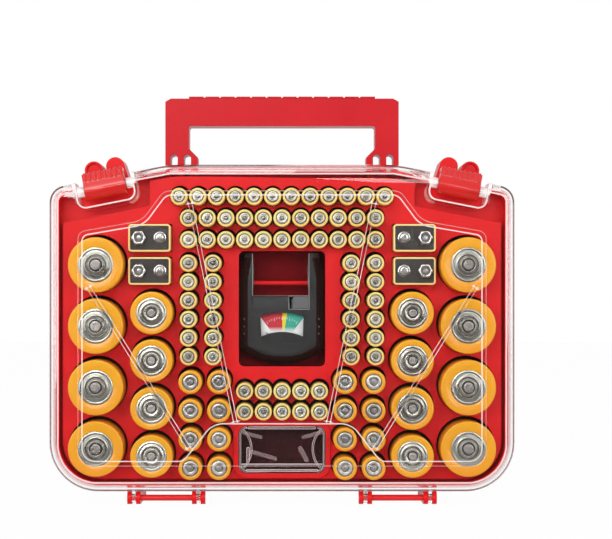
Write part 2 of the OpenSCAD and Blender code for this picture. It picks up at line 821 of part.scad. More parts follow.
// The handle's front view: grip bar, legs and slotted feet
module handle_outline() {
    bevel = [3.4, 1.9];
    grip_half = handle_half - leg_w;
    window_y1 = handle_top - bar_h - window_r;
    difference() {
        polygon([
            [-handle_half, top_y - tang_depth], [-handle_half, handle_top - bevel[1]],
            [-handle_half + bevel[0], handle_top], [handle_half - bevel[0], handle_top],
            [handle_half, handle_top - bevel[1]], [handle_half, top_y - tang_depth]
        ]);
        polygon([
            [-foot_half, 0], [-foot_half, top_y + foot_rise],
            [leg_w - handle_half, top_y + foot_rise + foot_spread],
            each arc([window_r - grip_half, window_y1], window_r, 180, 90, 4),
            each arc([grip_half - window_r, window_y1], window_r, 90, 0, 4),
            [handle_half - leg_w, top_y + foot_rise + foot_spread],
            [foot_half, top_y + foot_rise], [foot_half, 0]
        ]);
        both() for (x = SLOTS) translate([-x, 0]) {
            translate([0, top_y + slot_rise - slot_w / 2]) circle(slot_w / 2);
            translate([-slot_w / 2, 0]) square([slot_w, top_y + slot_rise - slot_w / 2]);
        }
    }
}

module handle() {
    pad_half = handle_half - leg_w;
    groove_pitch = 2 * pad_half / (pad_grooves + 1);
    color("#d8161e") stand() {
        slab(handle_back, handle_back + handle_d) handle_outline();
        // Barbs that snap in under the top wall
        slab(handle_back + 1, sunk_d - deck_t - 1) both() polygon([
            [slot_w / 4 - handle_half, top_y - tang_depth], [-handle_half, top_y - tang_depth],
            [-handle_half - barb_out, top_y - barb_drop], [slot_w / 4 - handle_half, top_y - barb_drop]
        ]);
        difference() {
            translate([-pad_half, handle_top - 1, handle_back + 1.5])
                cube([2 * pad_half, pad_h + 1, handle_d - 3]);
            for (i = [1:pad_grooves]) translate([i * groove_pitch - pad_half, handle_top + pad_h, 0])
                rotate(45) translate([-0.6, -0.6, 0]) cube([1.2, 1.2, far]);
        }
    }
}

// The lid's raised panel, moved inwards by a step, drawn for its left half
module panel(inset) {
    side = panel_half - inset;
    low = panel_low + inset;
    high = panel_high - inset;
    corner = slope_y(0) - panel_drop - inset;
    neck = latch_x - panel_neck - inset;
    turn = 90 - top_tilt;
    // The slope at the shoulder, as far as the neck
    rise = (side - neck) * tan(top_tilt);
    // Radii of the foot, the side's top, the turn at the neck and the neck's top
    foot_r = 13;
    side_r = 5;
    bend_r = 8;
    neck_r = 4;
    polygon(concat(
        arc([foot_r - side, low + foot_r], foot_r, 270, 180),
        arc([side_r - side, corner - side_r - bend_r], side_r, 180, 180 - turn, 6),
        arc([-neck - 2, corner + rise + 1], bend_r, top_tilt - 90, -20, 6),
        arc([-neck + 14, high - neck_r], neck_r, 160, 90, 6),
        [[1, high], [1, low]]
    ));
}

// The bare plaque low on the panel
module plaque() {
    half = plaque_w / 2;
    polygon(concat(
        [[1, plaque_y], [-half, plaque_y]],
        [[plaque_slant - half, plaque_y + plaque_h - plaque_slant]],
        arc([plaque_slant + 7.5 - half, plaque_y + plaque_h - plaque_r], plaque_r, 150, 90, 6),
        [[1, plaque_y + plaque_h]]
    ));
}

// Beads across the panel
module beads() {
    bar(OUTER_BEAD[0], OUTER_BEAD[1], bead_w);
    bar(INNER_BEAD[0], INNER_BEAD[1], bead_w);
}

// Clear arms that carry the lid on the hinge pin, and their knuckles
module knuckles() {
    play = 0.15;
    for (side = [-1, 1]) {
        low = (side < 0 ? -knuckle_x - knuckle_w : knuckle_x) - bracket_x;
        across(low + play, low + knuckle_w - play) {
            translate([hinge_d, hinge_z]) circle(hinge_z - 0.9);
            polygon([
                [hinge_d - 1.2, hinge_z], [hinge_d + 0.7, foot_y - lid_out + 0.5],
                [hinge_d + 6, foot_y - lid_out + 0.5], [hinge_d + 2.9, hinge_z]
            ]);
        }
    }
}

// Ears in the left notch that hold the latch's pin
module ears() {
    at_latch() for (side = [-1, 1])
        translate([side * (notch_half + latch_w / 2 + 2 * ear_gap) / 2, 0, 0]) rotate([0, 90, 0])
            cylinder(h = notch_half - latch_w / 2, r = ear_r, center = true);
}

module lid() {
    color("#e8eef2", 0.35) stand() difference() {
        union() {
            difference() {
                union() {
                    difference() {
                        pillow(-lid_out, lid_back_d, lid_face_d, lid_r);
                        pillow(-lid_gap, lid_back_d - 1, lid_face_d - lid_t, lid_r - lid_t);
                    }
                    both() {
                        slab(lid_face_d - 1, lid_face_d + panel_rise / 2) panel(0);
                        slab(lid_face_d - 1, lid_face_d + panel_rise) panel(panel_step);
                        slab(lid_face_d - 1, total_d) plaque();
                        slab(lid_face_d - 1, total_d) beads();
                    }
                }
                both() slab(lid_face_d - lid_t - 1, lid_face_d - lid_t + panel_rise)
                    panel(panel_step + 1);
                both() at_latch() slab(-far, far) notch(0);
            }
            both() {
                intersection() {
                    at_latch() slab(lid_back_d - latch_d, lid_face_d - latch_d) difference() {
                        notch(lid_t);
                        notch(0);
                    }
                    slab(0, far) outline(-lid_out);
                }
                ears();
                knuckles();
            }
        }
        both() hinge_bore(hinge_pin_dia / 2 + pin_gap);
        both() at_latch() rotate([0, 90, 0])
            cylinder(h = 2 * (notch_half + lid_t + 0.4), r = latch_pin_dia / 2 + pin_gap / 2,
                center = true);
    }
}

module hinge_pin() {
    stand() translate([-bracket_x, hinge_z, hinge_d]) rotate([0, 90, 0])
        cylinder(h = bracket_w, r = hinge_pin_dia / 2, center = true);
}

module hinge_pin_left() {
    color("#c8121a") hinge_pin();
}

module hinge_pin_right() {
    color("#c8121a") mirror([1, 0, 0]) hinge_pin();
}

module latch_pin() {
    stand() at_latch() rotate([0, 90, 0])
        cylinder(h = 2 * (notch_half + lid_t - 0.5), r = latch_pin_dia / 2, center = true);
}

module latch_pin_left() {
    color("#b5b8bb") latch_pin();
}

module latch_pin_right() {
    color("#b5b8bb") mirror([1, 0, 0]) latch_pin();
}

// A latch's side view about its pin: rounded foot, face, and the hook that runs back over the keeper
module latch_side() {
    difference() {
        intersection() {
            circle(latch_r);
            translate([0, -latch_r]) square(latch_r);
        }
        circle(latch_r - latch_t);
    }
    difference() {
        square([latch_r, latch_top]);
        square([latch_r - latch_t, hook_in]);
        translate([latch_r - 1.2, latch_top - 1.2]) square(2);
    }
    translate([latch_r - 1.2, latch_top - 1.2]) circle(1.2);
    intersection() {
        difference() {
            circle(latch_top);
            circle(hook_in);
        }
        polygon([[0, 0], [0.1, far], [-far, far], [-far, far * tan(35)]]);
    }
}

module latch() {
    half = latch_w / 2;
    rib_pitch = (latch_w - 3) / (latch_ribs - 1);
    stand() at_latch() difference() {
        union() {
            across(-half, half) latch_side();
            for (side = [-1, 1]) translate([side * (half - boss_t / 2), 0, 0])
                rotate([0, 90, 0]) cylinder(h = boss_t, r = latch_r, center = true);
            for (i = [0:latch_ribs - 1]) translate([i * rib_pitch - half + 1.5, 0, latch_r - 0.5])
                rotate([-90, 0, 0]) translate([0, 0, latch_top - 5]) {
                    cylinder(h = 4.8, r = latch_rib_r);
                    translate([0, 0, 4.8]) sphere(latch_rib_r, $fn = 24);
                }
        }
        rotate([0, 90, 0]) cylinder(h = far, r = latch_pin_dia / 2 + pin_gap, center = true);
    }
}

module latch_left() {
    color("#e01c22") latch();
}

module latch_right() {
    color("#e01c22") mirror([1, 0, 0]) latch();
}

// The clear insert: an open box with two curved ribs and a finger bar along the top
module coin_tray() {
    w = coin_w - 2 * fit_gap;
    h = coin_h - 2 * fit_gap;
    r = coin_r - fit_gap;
    color("#dfe6ea", 0.4) stand() translate([0, coin_mid, coin_floor_d + fit_gap]) {
        difference() {
            slab(0, coin_d) rounded(w, h, r);
            slab(coin_t, far) rounded(w - 2 * coin_t, h - 2 * coin_t, r - coin_t);
        }
        slab(0, coin_d - 2) intersection() {
            rounded(w, h, r);
            both() translate([-w / 2 - 9, 0]) difference() {
                circle(17);
                circle(17 - coin_t);
            }
        }
    }
}

// The tester's front view: straight sides, a wide round foot and two arms round the gap
module tester_outline(inset) {
    half = tester_w / 2;
    difference() {
        intersection() {
            translate([inset - half, 0]) square([tester_w - 2 * inset, tester_top - inset]);
            union() {
                translate([0, tester_y + bowl_r]) circle(bowl_r - inset);
                translate([-half, tester_y + bowl_r]) square([tester_w, far]);
            }
        }
        both() polygon([
            [-far, tester_top - 16 * far / 3.2], [-half + inset, tester_top - 16],
            [-half + 3.2 + inset, tester_top], [-far, tester_top]
        ]);
        translate([test_gap_shift - test_gap_w / 2 - inset, gap_floor - inset])
            square([test_gap_w + 2 * inset, far]);
    }
}

// The dial window's opening: a slice of a ring, wider at the top
module dial_shape(grow) {
    intersection() {
        translate([0, dial_y]) difference() {
            circle(dial_r + grow);
            circle(dial_r - window_h - grow);
        }
        polygon([
            [-window_w / 2 - grow, far], [-window_w / 2 - grow, window_y + window_h * 0.7],
            [1.4 - window_w / 2 - grow, dial_y], [window_w / 2 - 1.4 + grow, dial_y],
            [window_w / 2 + grow, window_y + window_h * 0.7], [window_w / 2 + grow, far]
        ]);
    }
}

module tester_front() {
    color("#25272a") stand() difference() {
        slab(tester_seam_d, tester_front_d) tester_outline(0);
        slab(tester_seam_d - 1, tester_front_d - tester_t) tester_outline(tester_t);
        slab(tester_seam_d, far) dial_shape(0);
        slab(tester_front_d - tester_t - 1, far) translate([slot_x, gap_floor - slot_h])
            square([slider_w + slider_travel + fit_gap * 2, slot_h - 0.5]);
    }
}

module tester_back() {
    color("#1c1d20") stand() difference() {
        slab(tester_back_d, tester_seam_d) tester_outline(0);
        slab(tester_back_d + tester_t, far) tester_outline(tester_t);
    }
}

// A push button in its slot, with a wider flange behind the slot
module tester_slider() {
    x = slot_x + slider_travel + fit_gap;
    color("#4a4d50") stand() {
        slab(tester_front_d - tester_t - 0.5, tester_front_d - 0.2)
            translate([x, gap_floor - slot_h + fit_gap])
                square([slider_w, slot_h - 0.5 - 2 * fit_gap]);
        slab(tester_front_d - tester_t - 2, tester_front_d - tester_t - fit_gap)
            translate([x - 1, gap_floor - slot_h - 1]) square([slider_w + 1.6, slot_h - 1.2]);
    }
}

module tester_window() {
    color("#f4f8fa", 0.3) stand() {
        slab(tester_front_d - tester_t - 0.9, tester_front_d - tester_t - 0.1) dial_shape(1);
        slab(tester_front_d - tester_t - 0.5, tester_front_d - 0.6) dial_shape(-0.1);
    }
}

// The printed dial, fixed to the face of the meter
module tester_dial() {
    color("#f2f2ee") stand() slab(dial_d - dial_t, dial_d) difference() {
        union() {
            dial_shape(1.6);
            translate([-meter_r, needle_y]) square([2 * meter_r, window_y - needle_y]);
            translate([0, needle_y]) circle(meter_r);
        }
        translate([0, needle_y]) circle(shaft_r + fit_gap);
    }
}

module tester_needle() {
    color("#1a1a1c") stand() translate([0, needle_y, dial_d + 0.4]) {
        rotate(needle_rest) slab(0, 0.5)
            polygon([[-0.6, -3], [0.6, -3], [0.25, needle_len], [-0.25, needle_len]]);
        cylinder(h = 0.9, r = 1.6);
    }
}

// The moving-coil meter behind the dial
module tester_meter() {
    base_d = tester_back_d + tester_t;
    color("#8a8d90") stand() translate([0, needle_y, base_d]) {
        cylinder(h = dial_d - dial_t - base_d, r = meter_r);
        cylinder(h = dial_d - base_d, r = shaft_r);
    }
}

// Plated contacts at the two sides of the gap
module tester_contacts() {
    reach = test_gap_w / 2 - 0.1 - contact_t / 2;
    color("#c9c9c4") stand() for (side = [-1, 1])
        translate([
            test_gap_shift + side * reach - contact_t / 2,
            gap_floor + contact_rise, tester_back_d + contact_back
        ]) cube([contact_t, contact_h, contact_w]);
}

module d_cells() {
    stand() cells(D_PLACES, d_base, d_r, d_well, d_len, d_mouth_r, d_button_r, big_button_h);
}

module d_cells_left() {
    color("#f0a020") d_cells();
}

module d_cells_right() {
    color("#f0a020") mirror([1, 0, 0]) d_cells();
}

module c_cells() {
    stand() cells(C_PLACES, c_base, c_r, c_well, c_len, c_mouth_r, c_button_r, big_button_h);
}

module c_cells_left() {
    color("#f0a020") c_cells();
}

module c_cells_right() {
    color("#f0a020") mirror([1, 0, 0]) c_cells();
}

module nine_volts_left() {
    color("#303236") stand() blocks();
}

module nine_volts_right() {
    color("#303236") mirror([1, 0, 0]) stand() blocks();
}

module aa_cells() {
    stand()
        cells(AA_PLACES, aa_base, aa_r, aa_well, aa_len, aa_mouth_r, aa_button_r, small_button_h);
}

module aa_cells_left() {
    color("#e8c030") aa_cells();
}

module aa_cells_right() {
    color("#e8c030") mirror([1, 0, 0]) aa_cells();
}

module aaa_group(places) {
    stand()
        cells(places, aaa_base, aaa_r, aaa_well, aaa_len, aaa_mouth_r, aaa_button_r, small_button_h);
}

module aaa_cells_top() {
    color("#e8c030") aaa_group(TOP_PLACES);
}

module aaa_cells_left() {
    color("#e8c030") aaa_group(SIDE_PLACES);
}

module aaa_cells_right() {
    color("#e8c030") mirror([1, 0, 0]) aaa_group(SIDE_PLACES);
}

module aaa_cells_bottom() {
    color("#e8c030") aaa_group(UNDER_PLACES);
}

tray();
back_shell();
case_screws();
handle();
lid();
hinge_pin_left();
hinge_pin_right();
latch_left();
latch_right();
latch_pin_left();
latch_pin_right();
coin_tray();
tester_front();
tester_back();
tester_slider();
tester_window();
tester_dial();
tester_needle();
tester_meter();
tester_contacts();
d_cells_left();
d_cells_right();
c_cells_left();
c_cells_right();
nine_volts_left();
nine_volts_right();
aa_cells_left();
aa_cells_right();
aaa_cells_top();
aaa_cells_left();
aaa_cells_right();
aaa_cells_bottom();
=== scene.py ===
"""Looks of the battery storage case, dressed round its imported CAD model."""

import math
import random

import bmesh
import bpy
from mathutils import Matrix, Vector


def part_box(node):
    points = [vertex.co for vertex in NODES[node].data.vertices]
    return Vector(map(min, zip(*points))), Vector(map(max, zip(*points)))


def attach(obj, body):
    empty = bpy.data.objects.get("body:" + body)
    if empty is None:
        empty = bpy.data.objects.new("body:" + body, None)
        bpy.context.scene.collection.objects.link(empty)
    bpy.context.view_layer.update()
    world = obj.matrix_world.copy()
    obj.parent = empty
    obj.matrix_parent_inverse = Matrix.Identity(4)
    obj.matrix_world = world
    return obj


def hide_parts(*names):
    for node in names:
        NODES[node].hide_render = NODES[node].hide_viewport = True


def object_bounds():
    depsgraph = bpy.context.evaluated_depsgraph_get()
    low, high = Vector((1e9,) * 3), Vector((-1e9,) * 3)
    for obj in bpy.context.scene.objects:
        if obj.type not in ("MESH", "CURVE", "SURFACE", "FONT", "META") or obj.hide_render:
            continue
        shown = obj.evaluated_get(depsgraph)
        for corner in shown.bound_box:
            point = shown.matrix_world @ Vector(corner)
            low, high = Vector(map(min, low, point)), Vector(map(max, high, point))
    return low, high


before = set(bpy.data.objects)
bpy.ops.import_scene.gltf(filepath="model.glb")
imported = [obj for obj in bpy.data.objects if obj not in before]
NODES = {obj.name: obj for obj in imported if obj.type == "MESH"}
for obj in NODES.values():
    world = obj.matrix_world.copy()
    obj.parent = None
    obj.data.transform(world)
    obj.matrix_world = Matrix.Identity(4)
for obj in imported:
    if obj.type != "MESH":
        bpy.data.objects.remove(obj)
cad_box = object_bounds()

# Pieces are drawn in the case's own frame, in millimetres: X right, Y up from the ground and
# Z forward from the back. STAND sets that frame upright in the shared frame, in metres.
STAND = (
    Matrix.Translation((0, cad_box[1][1], 0))
    @ Matrix.Rotation(math.radians(90), 4, "X")
    @ Matrix.Scale(0.001, 4)
)

# Height of the tray's deck, place of the right latch's pin, tilt of the latches in degrees, and
# place of the needle's pivot
DECK = 46.0
LATCH_PIN = (105.8, 191.5)
LATCH_TILT = 11.2
NEEDLE_PIVOT = (0, 96.1)


def case_box(node):
    """A CAD node's lowest and highest corners in the case's own frame."""
    back = STAND.inverted()
    corners = [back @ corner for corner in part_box(node)]
    return Vector(map(min, *corners)), Vector(map(max, *corners))


# Materials


def tree_of(name):
    """A new material with a Principled shader, and its nodes."""
    material = bpy.data.materials.new(name)
    material.use_nodes = True
    nodes = material.node_tree.nodes
    return material, nodes, material.node_tree.links, nodes["Principled BSDF"]


def add(nodes, kind, **values):
    """A node with its properties set."""
    node = nodes.new(kind)
    for key, value in values.items():
        setattr(node, key, value)
    return node


def group_of(name, inputs, outputs):
    """An empty node group with the given float sockets in, and typed sockets out."""
    group = bpy.data.node_groups.new(name, "ShaderNodeTree")
    for label, value in inputs.items():
        socket = group.interface.new_socket(label, in_out="INPUT", socket_type="NodeSocketFloat")
        socket.default_value = value
    for label, kind in outputs.items():
        group.interface.new_socket(label, in_out="OUTPUT", socket_type=kind)
    entry = group.nodes.new("NodeGroupInput")
    leave = group.nodes.new("NodeGroupOutput")
    return group, entry, leave


def make_moulded_surface():
    """Moulded plastic: soft edges, faint ripple, fine grain and a slight mottle."""
    group, entry, leave = group_of(
        "Moulded surface",
        {"Edge": 0.0004, "Ripple": 0.02, "Grain": 0.03},
        {"Mottle": "NodeSocketFloat", "Normal": "NodeSocketVector"},
    )
    nodes, links = group.nodes, group.links
    place = add(nodes, "ShaderNodeTexCoord")
    soft = add(nodes, "ShaderNodeBevel", samples=6)
    links.new(entry.outputs["Edge"], soft.inputs["Radius"])
    ripple = add(nodes, "ShaderNodeTexNoise")
    ripple.inputs["Scale"].default_value = 38
    ripple.inputs["Detail"].default_value = 2
    grain = add(nodes, "ShaderNodeTexNoise")
    grain.inputs["Scale"].default_value = 1500
    grain.inputs["Detail"].default_value = 1
    links.new(place.outputs["Object"], ripple.inputs["Vector"])
    links.new(place.outputs["Object"], grain.inputs["Vector"])
    swell = add(nodes, "ShaderNodeBump")
    swell.inputs["Distance"].default_value = 0.002
    links.new(entry.outputs["Ripple"], swell.inputs["Strength"])
    links.new(ripple.outputs["Fac"], swell.inputs["Height"])
    links.new(soft.outputs["Normal"], swell.inputs["Normal"])
    pits = add(nodes, "ShaderNodeBump")
    pits.inputs["Distance"].default_value = 0.0001
    links.new(entry.outputs["Grain"], pits.inputs["Strength"])
    links.new(grain.outputs["Fac"], pits.inputs["Height"])
    links.new(swell.outputs["Normal"], pits.inputs["Normal"])
    links.new(ripple.outputs["Fac"], leave.inputs["Mottle"])
    links.new(pits.outputs["Normal"], leave.inputs["Normal"])
    return group


def make_clear_waves():
    """Clear plastic's slow waves, which bend what is seen through it a little."""
    group, entry, leave = group_of(
        "Clear plastic waves", {"Waves": 0.012}, {"Normal": "NodeSocketVector"}
    )
    nodes, links = group.nodes, group.links
    place = add(nodes, "ShaderNodeTexCoord")
    waves = add(nodes, "ShaderNodeTexNoise")
    waves.inputs["Scale"].default_value = 22
    links.new(place.outputs["Object"], waves.inputs["Vector"])
    swell = add(nodes, "ShaderNodeBump")
    swell.inputs["Distance"].default_value = 0.002
    links.new(entry.outputs["Waves"], swell.inputs["Strength"])
    links.new(waves.outputs["Fac"], swell.inputs["Height"])
    links.new(swell.outputs["Normal"], leave.inputs["Normal"])
    return group


def make_pressed_surface():
    """Pressed steel: a tone that differs from cell to cell, clouds in it and turned rings."""
    group, entry, leave = group_of(
        "Pressed steel surface",
        {"Rings": 0.0, "Turns": 14.0},
        {"Tone": "NodeSocketFloat", "Cloud": "NodeSocketFloat", "Normal": "NodeSocketVector"},
    )
    nodes, links = group.nodes, group.links
    lot = add(nodes, "ShaderNodeAttribute", attribute_name="lot")
    place = add(nodes, "ShaderNodeTexCoord")
    cloud = add(nodes, "ShaderNodeTexNoise")
    cloud.inputs["Scale"].default_value = 160
    links.new(place.outputs["Object"], cloud.inputs["Vector"])
    tone = add(nodes, "ShaderNodeMath", operation="MULTIPLY_ADD")
    links.new(cloud.outputs["Fac"], tone.inputs[0])
    tone.inputs[1].default_value = 0.5
    links.new(lot.outputs["Fac"], tone.inputs[2])
    fade = add(nodes, "ShaderNodeMapRange")
    fade.inputs["From Max"].default_value = 1.4
    links.new(tone.outputs[0], fade.inputs["Value"])
    ring = add(nodes, "ShaderNodeAttribute", attribute_name="ring")
    turn = add(nodes, "ShaderNodeMath", operation="MULTIPLY")
    links.new(ring.outputs["Fac"], turn.inputs[0])
    links.new(entry.outputs["Turns"], turn.inputs[1])
    wave = add(nodes, "ShaderNodeMath", operation="SINE")
    links.new(turn.outputs[0], wave.inputs[0])
    ridge = add(nodes, "ShaderNodeBump")
    ridge.inputs["Distance"].default_value = 0.00005
    links.new(entry.outputs["Rings"], ridge.inputs["Strength"])
    links.new(wave.outputs[0], ridge.inputs["Height"])
    links.new(fade.outputs["Result"], leave.inputs["Tone"])
    links.new(cloud.outputs["Fac"], leave.inputs["Cloud"])
    links.new(ridge.outputs["Normal"], leave.inputs["Normal"])
    return group


def make_jacket_painted_light():
    """A cell's jacket: painted light that changes its tone from its lower side to its upper one,
    with clouds and a tone that differs from cell to cell.
    """
    group, entry, leave = group_of(
        "Jacket painted light", {"Clouds": 1.2, "Spread": 0.6}, {"Tone": "NodeSocketFloat"}
    )
    nodes, links = group.nodes, group.links
    rise = add(nodes, "ShaderNodeAttribute", attribute_name="rise")
    lot = add(nodes, "ShaderNodeAttribute", attribute_name="lot")
    place = add(nodes, "ShaderNodeTexCoord")
    cloud = add(nodes, "ShaderNodeTexNoise")
    cloud.inputs["Scale"].default_value = 90
    links.new(place.outputs["Object"], cloud.inputs["Vector"])
    tone = add(nodes, "ShaderNodeMath", operation="MULTIPLY_ADD")
    links.new(cloud.outputs["Fac"], tone.inputs[0])
    links.new(entry.outputs["Clouds"], tone.inputs[1])
    links.new(rise.outputs["Fac"], tone.inputs[2])
    vary = add(nodes, "ShaderNodeMath", operation="MULTIPLY_ADD")
    links.new(lot.outputs["Fac"], vary.inputs[0])
    links.new(entry.outputs["Spread"], vary.inputs[1])
    links.new(tone.outputs[0], vary.inputs[2])
    fade = add(nodes, "ShaderNodeMapRange")
    fade.inputs["From Min"].default_value = -0.1
    fade.inputs["From Max"].default_value = 1.9
    links.new(vary.outputs[0], fade.inputs["Value"])
    links.new(fade.outputs["Result"], leave.inputs["Tone"])
    return group


MOULDED = make_moulded_surface()
CLEAR_WAVES = make_clear_waves()
PRESSED = make_pressed_surface()
JACKET_PAINTED_LIGHT = make_jacket_painted_light()


def moulded(name, colour, rough, edge=0.0004, grain=0.03, coat=0.0, gloss=0.5):
    """Moulded plastic of one colour, a little paler and duller in places."""
    ripple, spread = 0.02, 0.10
    material, nodes, links, shader = tree_of(name)
    surface = add(nodes, "ShaderNodeGroup", node_tree=MOULDED)
    surface.inputs["Edge"].default_value = edge
    surface.inputs["Ripple"].default_value = ripple
    surface.inputs["Grain"].default_value = grain
    tint = add(nodes, "ShaderNodeMix", data_type="RGBA")
    tint.inputs["A"].default_value = (*[c * (1 - spread) for c in colour], 1)
    tint.inputs["B"].default_value = (*[min(1, c * (1 + spread)) for c in colour], 1)
    links.new(surface.outputs["Mottle"], tint.inputs["Factor"])
    links.new(tint.outputs["Result"], shader.inputs["Base Color"])
    polish = add(nodes, "ShaderNodeMapRange")
    polish.inputs["To Min"].default_value = rough * 0.88
    polish.inputs["To Max"].default_value = rough * 1.12
    links.new(surface.outputs["Mottle"], polish.inputs["Value"])
    links.new(polish.outputs["Result"], shader.inputs["Roughness"])
    links.new(surface.outputs["Normal"], shader.inputs["Normal"])
    shader.inputs["Specular IOR Level"].default_value = gloss
    shader.inputs["Coat Weight"].default_value = coat
    shader.inputs["Coat Roughness"].default_value = 0.08
    return material


def clear(name, colour, rough=0.02, clearness=1.0, ior=1.49, waves=0.012):
    """Clear plastic that lets the lamps' light through. Below full clearness it is partly white,
    which the edge materials use as painted highlights.
    """
    material, nodes, links, shader = tree_of(name)
    shader.inputs["Base Color"].default_value = (*colour, 1)
    shader.inputs["Roughness"].default_value = rough
    shader.inputs["IOR"].default_value = ior
    shader.inputs["Transmission Weight"].default_value = clearness
    surface = add(nodes, "ShaderNodeGroup", node_tree=CLEAR_WAVES)
    surface.inputs["Waves"].default_value = waves
    links.new(surface.outputs["Normal"], shader.inputs["Normal"])
    through = add(nodes, "ShaderNodeBsdfTransparent")
    through.inputs["Color"].default_value = (*colour, 1)
    path = add(nodes, "ShaderNodeLightPath")
    ways = add(nodes, "ShaderNodeMath", operation="MAXIMUM")
    links.new(path.outputs["Is Shadow Ray"], ways.inputs[0])
    links.new(path.outputs["Is Diffuse Ray"], ways.inputs[1])
    mix = add(nodes, "ShaderNodeMixShader")
    links.new(ways.outputs[0], mix.inputs["Fac"])
    links.new(shader.outputs["BSDF"], mix.inputs[1])
    links.new(through.outputs["BSDF"], mix.inputs[2])
    links.new(mix.outputs["Shader"], nodes["Material Output"].inputs["Surface"])
    return material


def pressed_steel(name, colour, rough, rings=0.0, ring_pitch=0.45):
    """Pressed steel whose tone differs from cell to cell, with turned rings round its middle."""
    material, nodes, links, shader = tree_of(name)
    shader.inputs["Metallic"].default_value = 1
    surface = add(nodes, "ShaderNodeGroup", node_tree=PRESSED)
    surface.inputs["Rings"].default_value = rings
    surface.inputs["Turns"].default_value = math.tau / ring_pitch
    tint = add(nodes, "ShaderNodeMix", data_type="RGBA")
    tint.inputs["A"].default_value = (*[c * 0.7 for c in colour], 1)
    tint.inputs["B"].default_value = (*[min(1, c * 1.15) for c in colour], 1)
    links.new(surface.outputs["Tone"], tint.inputs["Factor"])
    links.new(tint.outputs["Result"], shader.inputs["Base Color"])
    polish = add(nodes, "ShaderNodeMapRange")
    polish.inputs["To Min"].default_value = rough * 0.75
    polish.inputs["To Max"].default_value = rough * 1.25
    links.new(surface.outputs["Cloud"], polish.inputs["Value"])
    links.new(polish.outputs["Result"], shader.inputs["Roughness"])
    if rings:
        links.new(surface.outputs["Normal"], shader.inputs["Normal"])
    return material


def jacket(name, top_colour, foot_colour, rough=0.3, clouds=1.2, spread=0.6):
    """A cell's printed jacket: glossy, with painted light that gives its upper side one tone and
    its lower side another.
    """
    material, nodes, links, shader = tree_of(name)
    surface = add(nodes, "ShaderNodeGroup", node_tree=JACKET_PAINTED_LIGHT)
    surface.inputs["Clouds"].default_value = clouds
    surface.inputs["Spread"].default_value = spread
    tint = add(nodes, "ShaderNodeMix", data_type="RGBA")
    tint.inputs["A"].default_value = (*foot_colour, 1)
    tint.inputs["B"].default_value = (*top_colour, 1)
    links.new(surface.outputs["Tone"], tint.inputs["Factor"])
    links.new(tint.outputs["Result"], shader.inputs["Base Color"])
    shader.inputs["Roughness"].default_value = rough
    shader.inputs["Specular IOR Level"].default_value = 0.3
    shader.inputs["Coat Weight"].default_value = 0.25
    shader.inputs["Coat Roughness"].default_value = 0.12
    return material


def dial_card(name, pivot, fields, white, reach):
    """White card with fields of colour round the needle's pivot, paler towards the middle."""
    material, nodes, links, shader = tree_of(name)
    place = add(nodes, "ShaderNodeTexCoord")
    centre = add(nodes, "ShaderNodeMapping")
    centre.inputs["Location"].default_value = [-c for c in pivot]
    links.new(place.outputs["Object"], centre.inputs["Vector"])
    split = add(nodes, "ShaderNodeSeparateXYZ")
    links.new(centre.outputs["Vector"], split.inputs["Vector"])
    angle = add(nodes, "ShaderNodeMath", operation="ARCTAN2")
    links.new(split.outputs["X"], angle.inputs[0])
    links.new(split.outputs["Z"], angle.inputs[1])
    turn = add(nodes, "ShaderNodeMapRange")
    turn.inputs["From Min"].default_value = -math.pi / 2
    turn.inputs["From Max"].default_value = math.pi / 2
    links.new(angle.outputs[0], turn.inputs["Value"])
    ramp = add(nodes, "ShaderNodeValToRGB")
    ramp.color_ramp.interpolation = "CONSTANT"
    marks = ramp.color_ramp.elements
    marks[0].color = (*white, 1)
    marks.remove(marks[1])
    for degrees, colour in fields:
        marks.new(0.5 + degrees / 180).color = (*colour, 1)
    links.new(turn.outputs["Result"], ramp.inputs["Fac"])
    fade = add(nodes, "ShaderNodeMapRange")
    fade.inputs["From Min"].default_value = reach[0]
    fade.inputs["From Max"].default_value = reach[1]
    links.new(split.outputs["Z"], fade.inputs["Value"])
    tint = add(nodes, "ShaderNodeMix", data_type="RGBA")
    tint.inputs["A"].default_value = (*white, 1)
    links.new(fade.outputs["Result"], tint.inputs["Factor"])
    links.new(ramp.outputs["Color"], tint.inputs["B"])
    links.new(tint.outputs["Result"], shader.inputs["Base Color"])
    shader.inputs["Roughness"].default_value = 0.45
    return material


RED_TRAY = moulded("Red tray plastic", (0.70, 0.009, 0.012), 0.34, edge=0.0006, gloss=0.16)
# Painted shade: a dark red for the wells' insides and the floor under the insert
PAINTED_WELL_SHADE = moulded("Painted shade of the wells", (0.035, 0.002, 0.003), 0.6, edge=0.0001, gloss=0.1)
# Painted shade: a darker red for the floor of the tester's pocket
PAINTED_POCKET_SHADE = moulded(
    "Painted shade of the tester's pocket", (0.19, 0.0005, 0.003), 0.4, edge=0.0006, gloss=0.05
)
RED_SHELL = moulded(
    "Red shell plastic", (0.70, 0.009, 0.012), 0.42, edge=0.0006, grain=0.12, gloss=0.3
)
RED_HANDLE = moulded("Red handle plastic", (0.51, 0.009, 0.015), 0.32, edge=0.0008, gloss=0.14)
RED_LATCH = moulded(
    "Red latch plastic", (0.58, 0.012, 0.011), 0.23, edge=0.0006, coat=0.35, gloss=0.4
)
RED_PIN = moulded("Red pin plastic", (0.70, 0.012, 0.013), 0.3, edge=0.0003, gloss=0.3)
BLACK = moulded(
    "Black tester plastic", (0.015, 0.014, 0.014), 0.42, edge=0.0004, grain=0.1, gloss=0.28
)
# Painted reflection: reddish brown on the tester's rounded sides, for the red around them
BLACK_SIDE_PAINTED_REFLECTION = moulded(
    "Painted red reflection on the tester's sides", (0.013, 0.003, 0.002), 0.7, edge=0.0002, grain=0.0, gloss=0.06
)
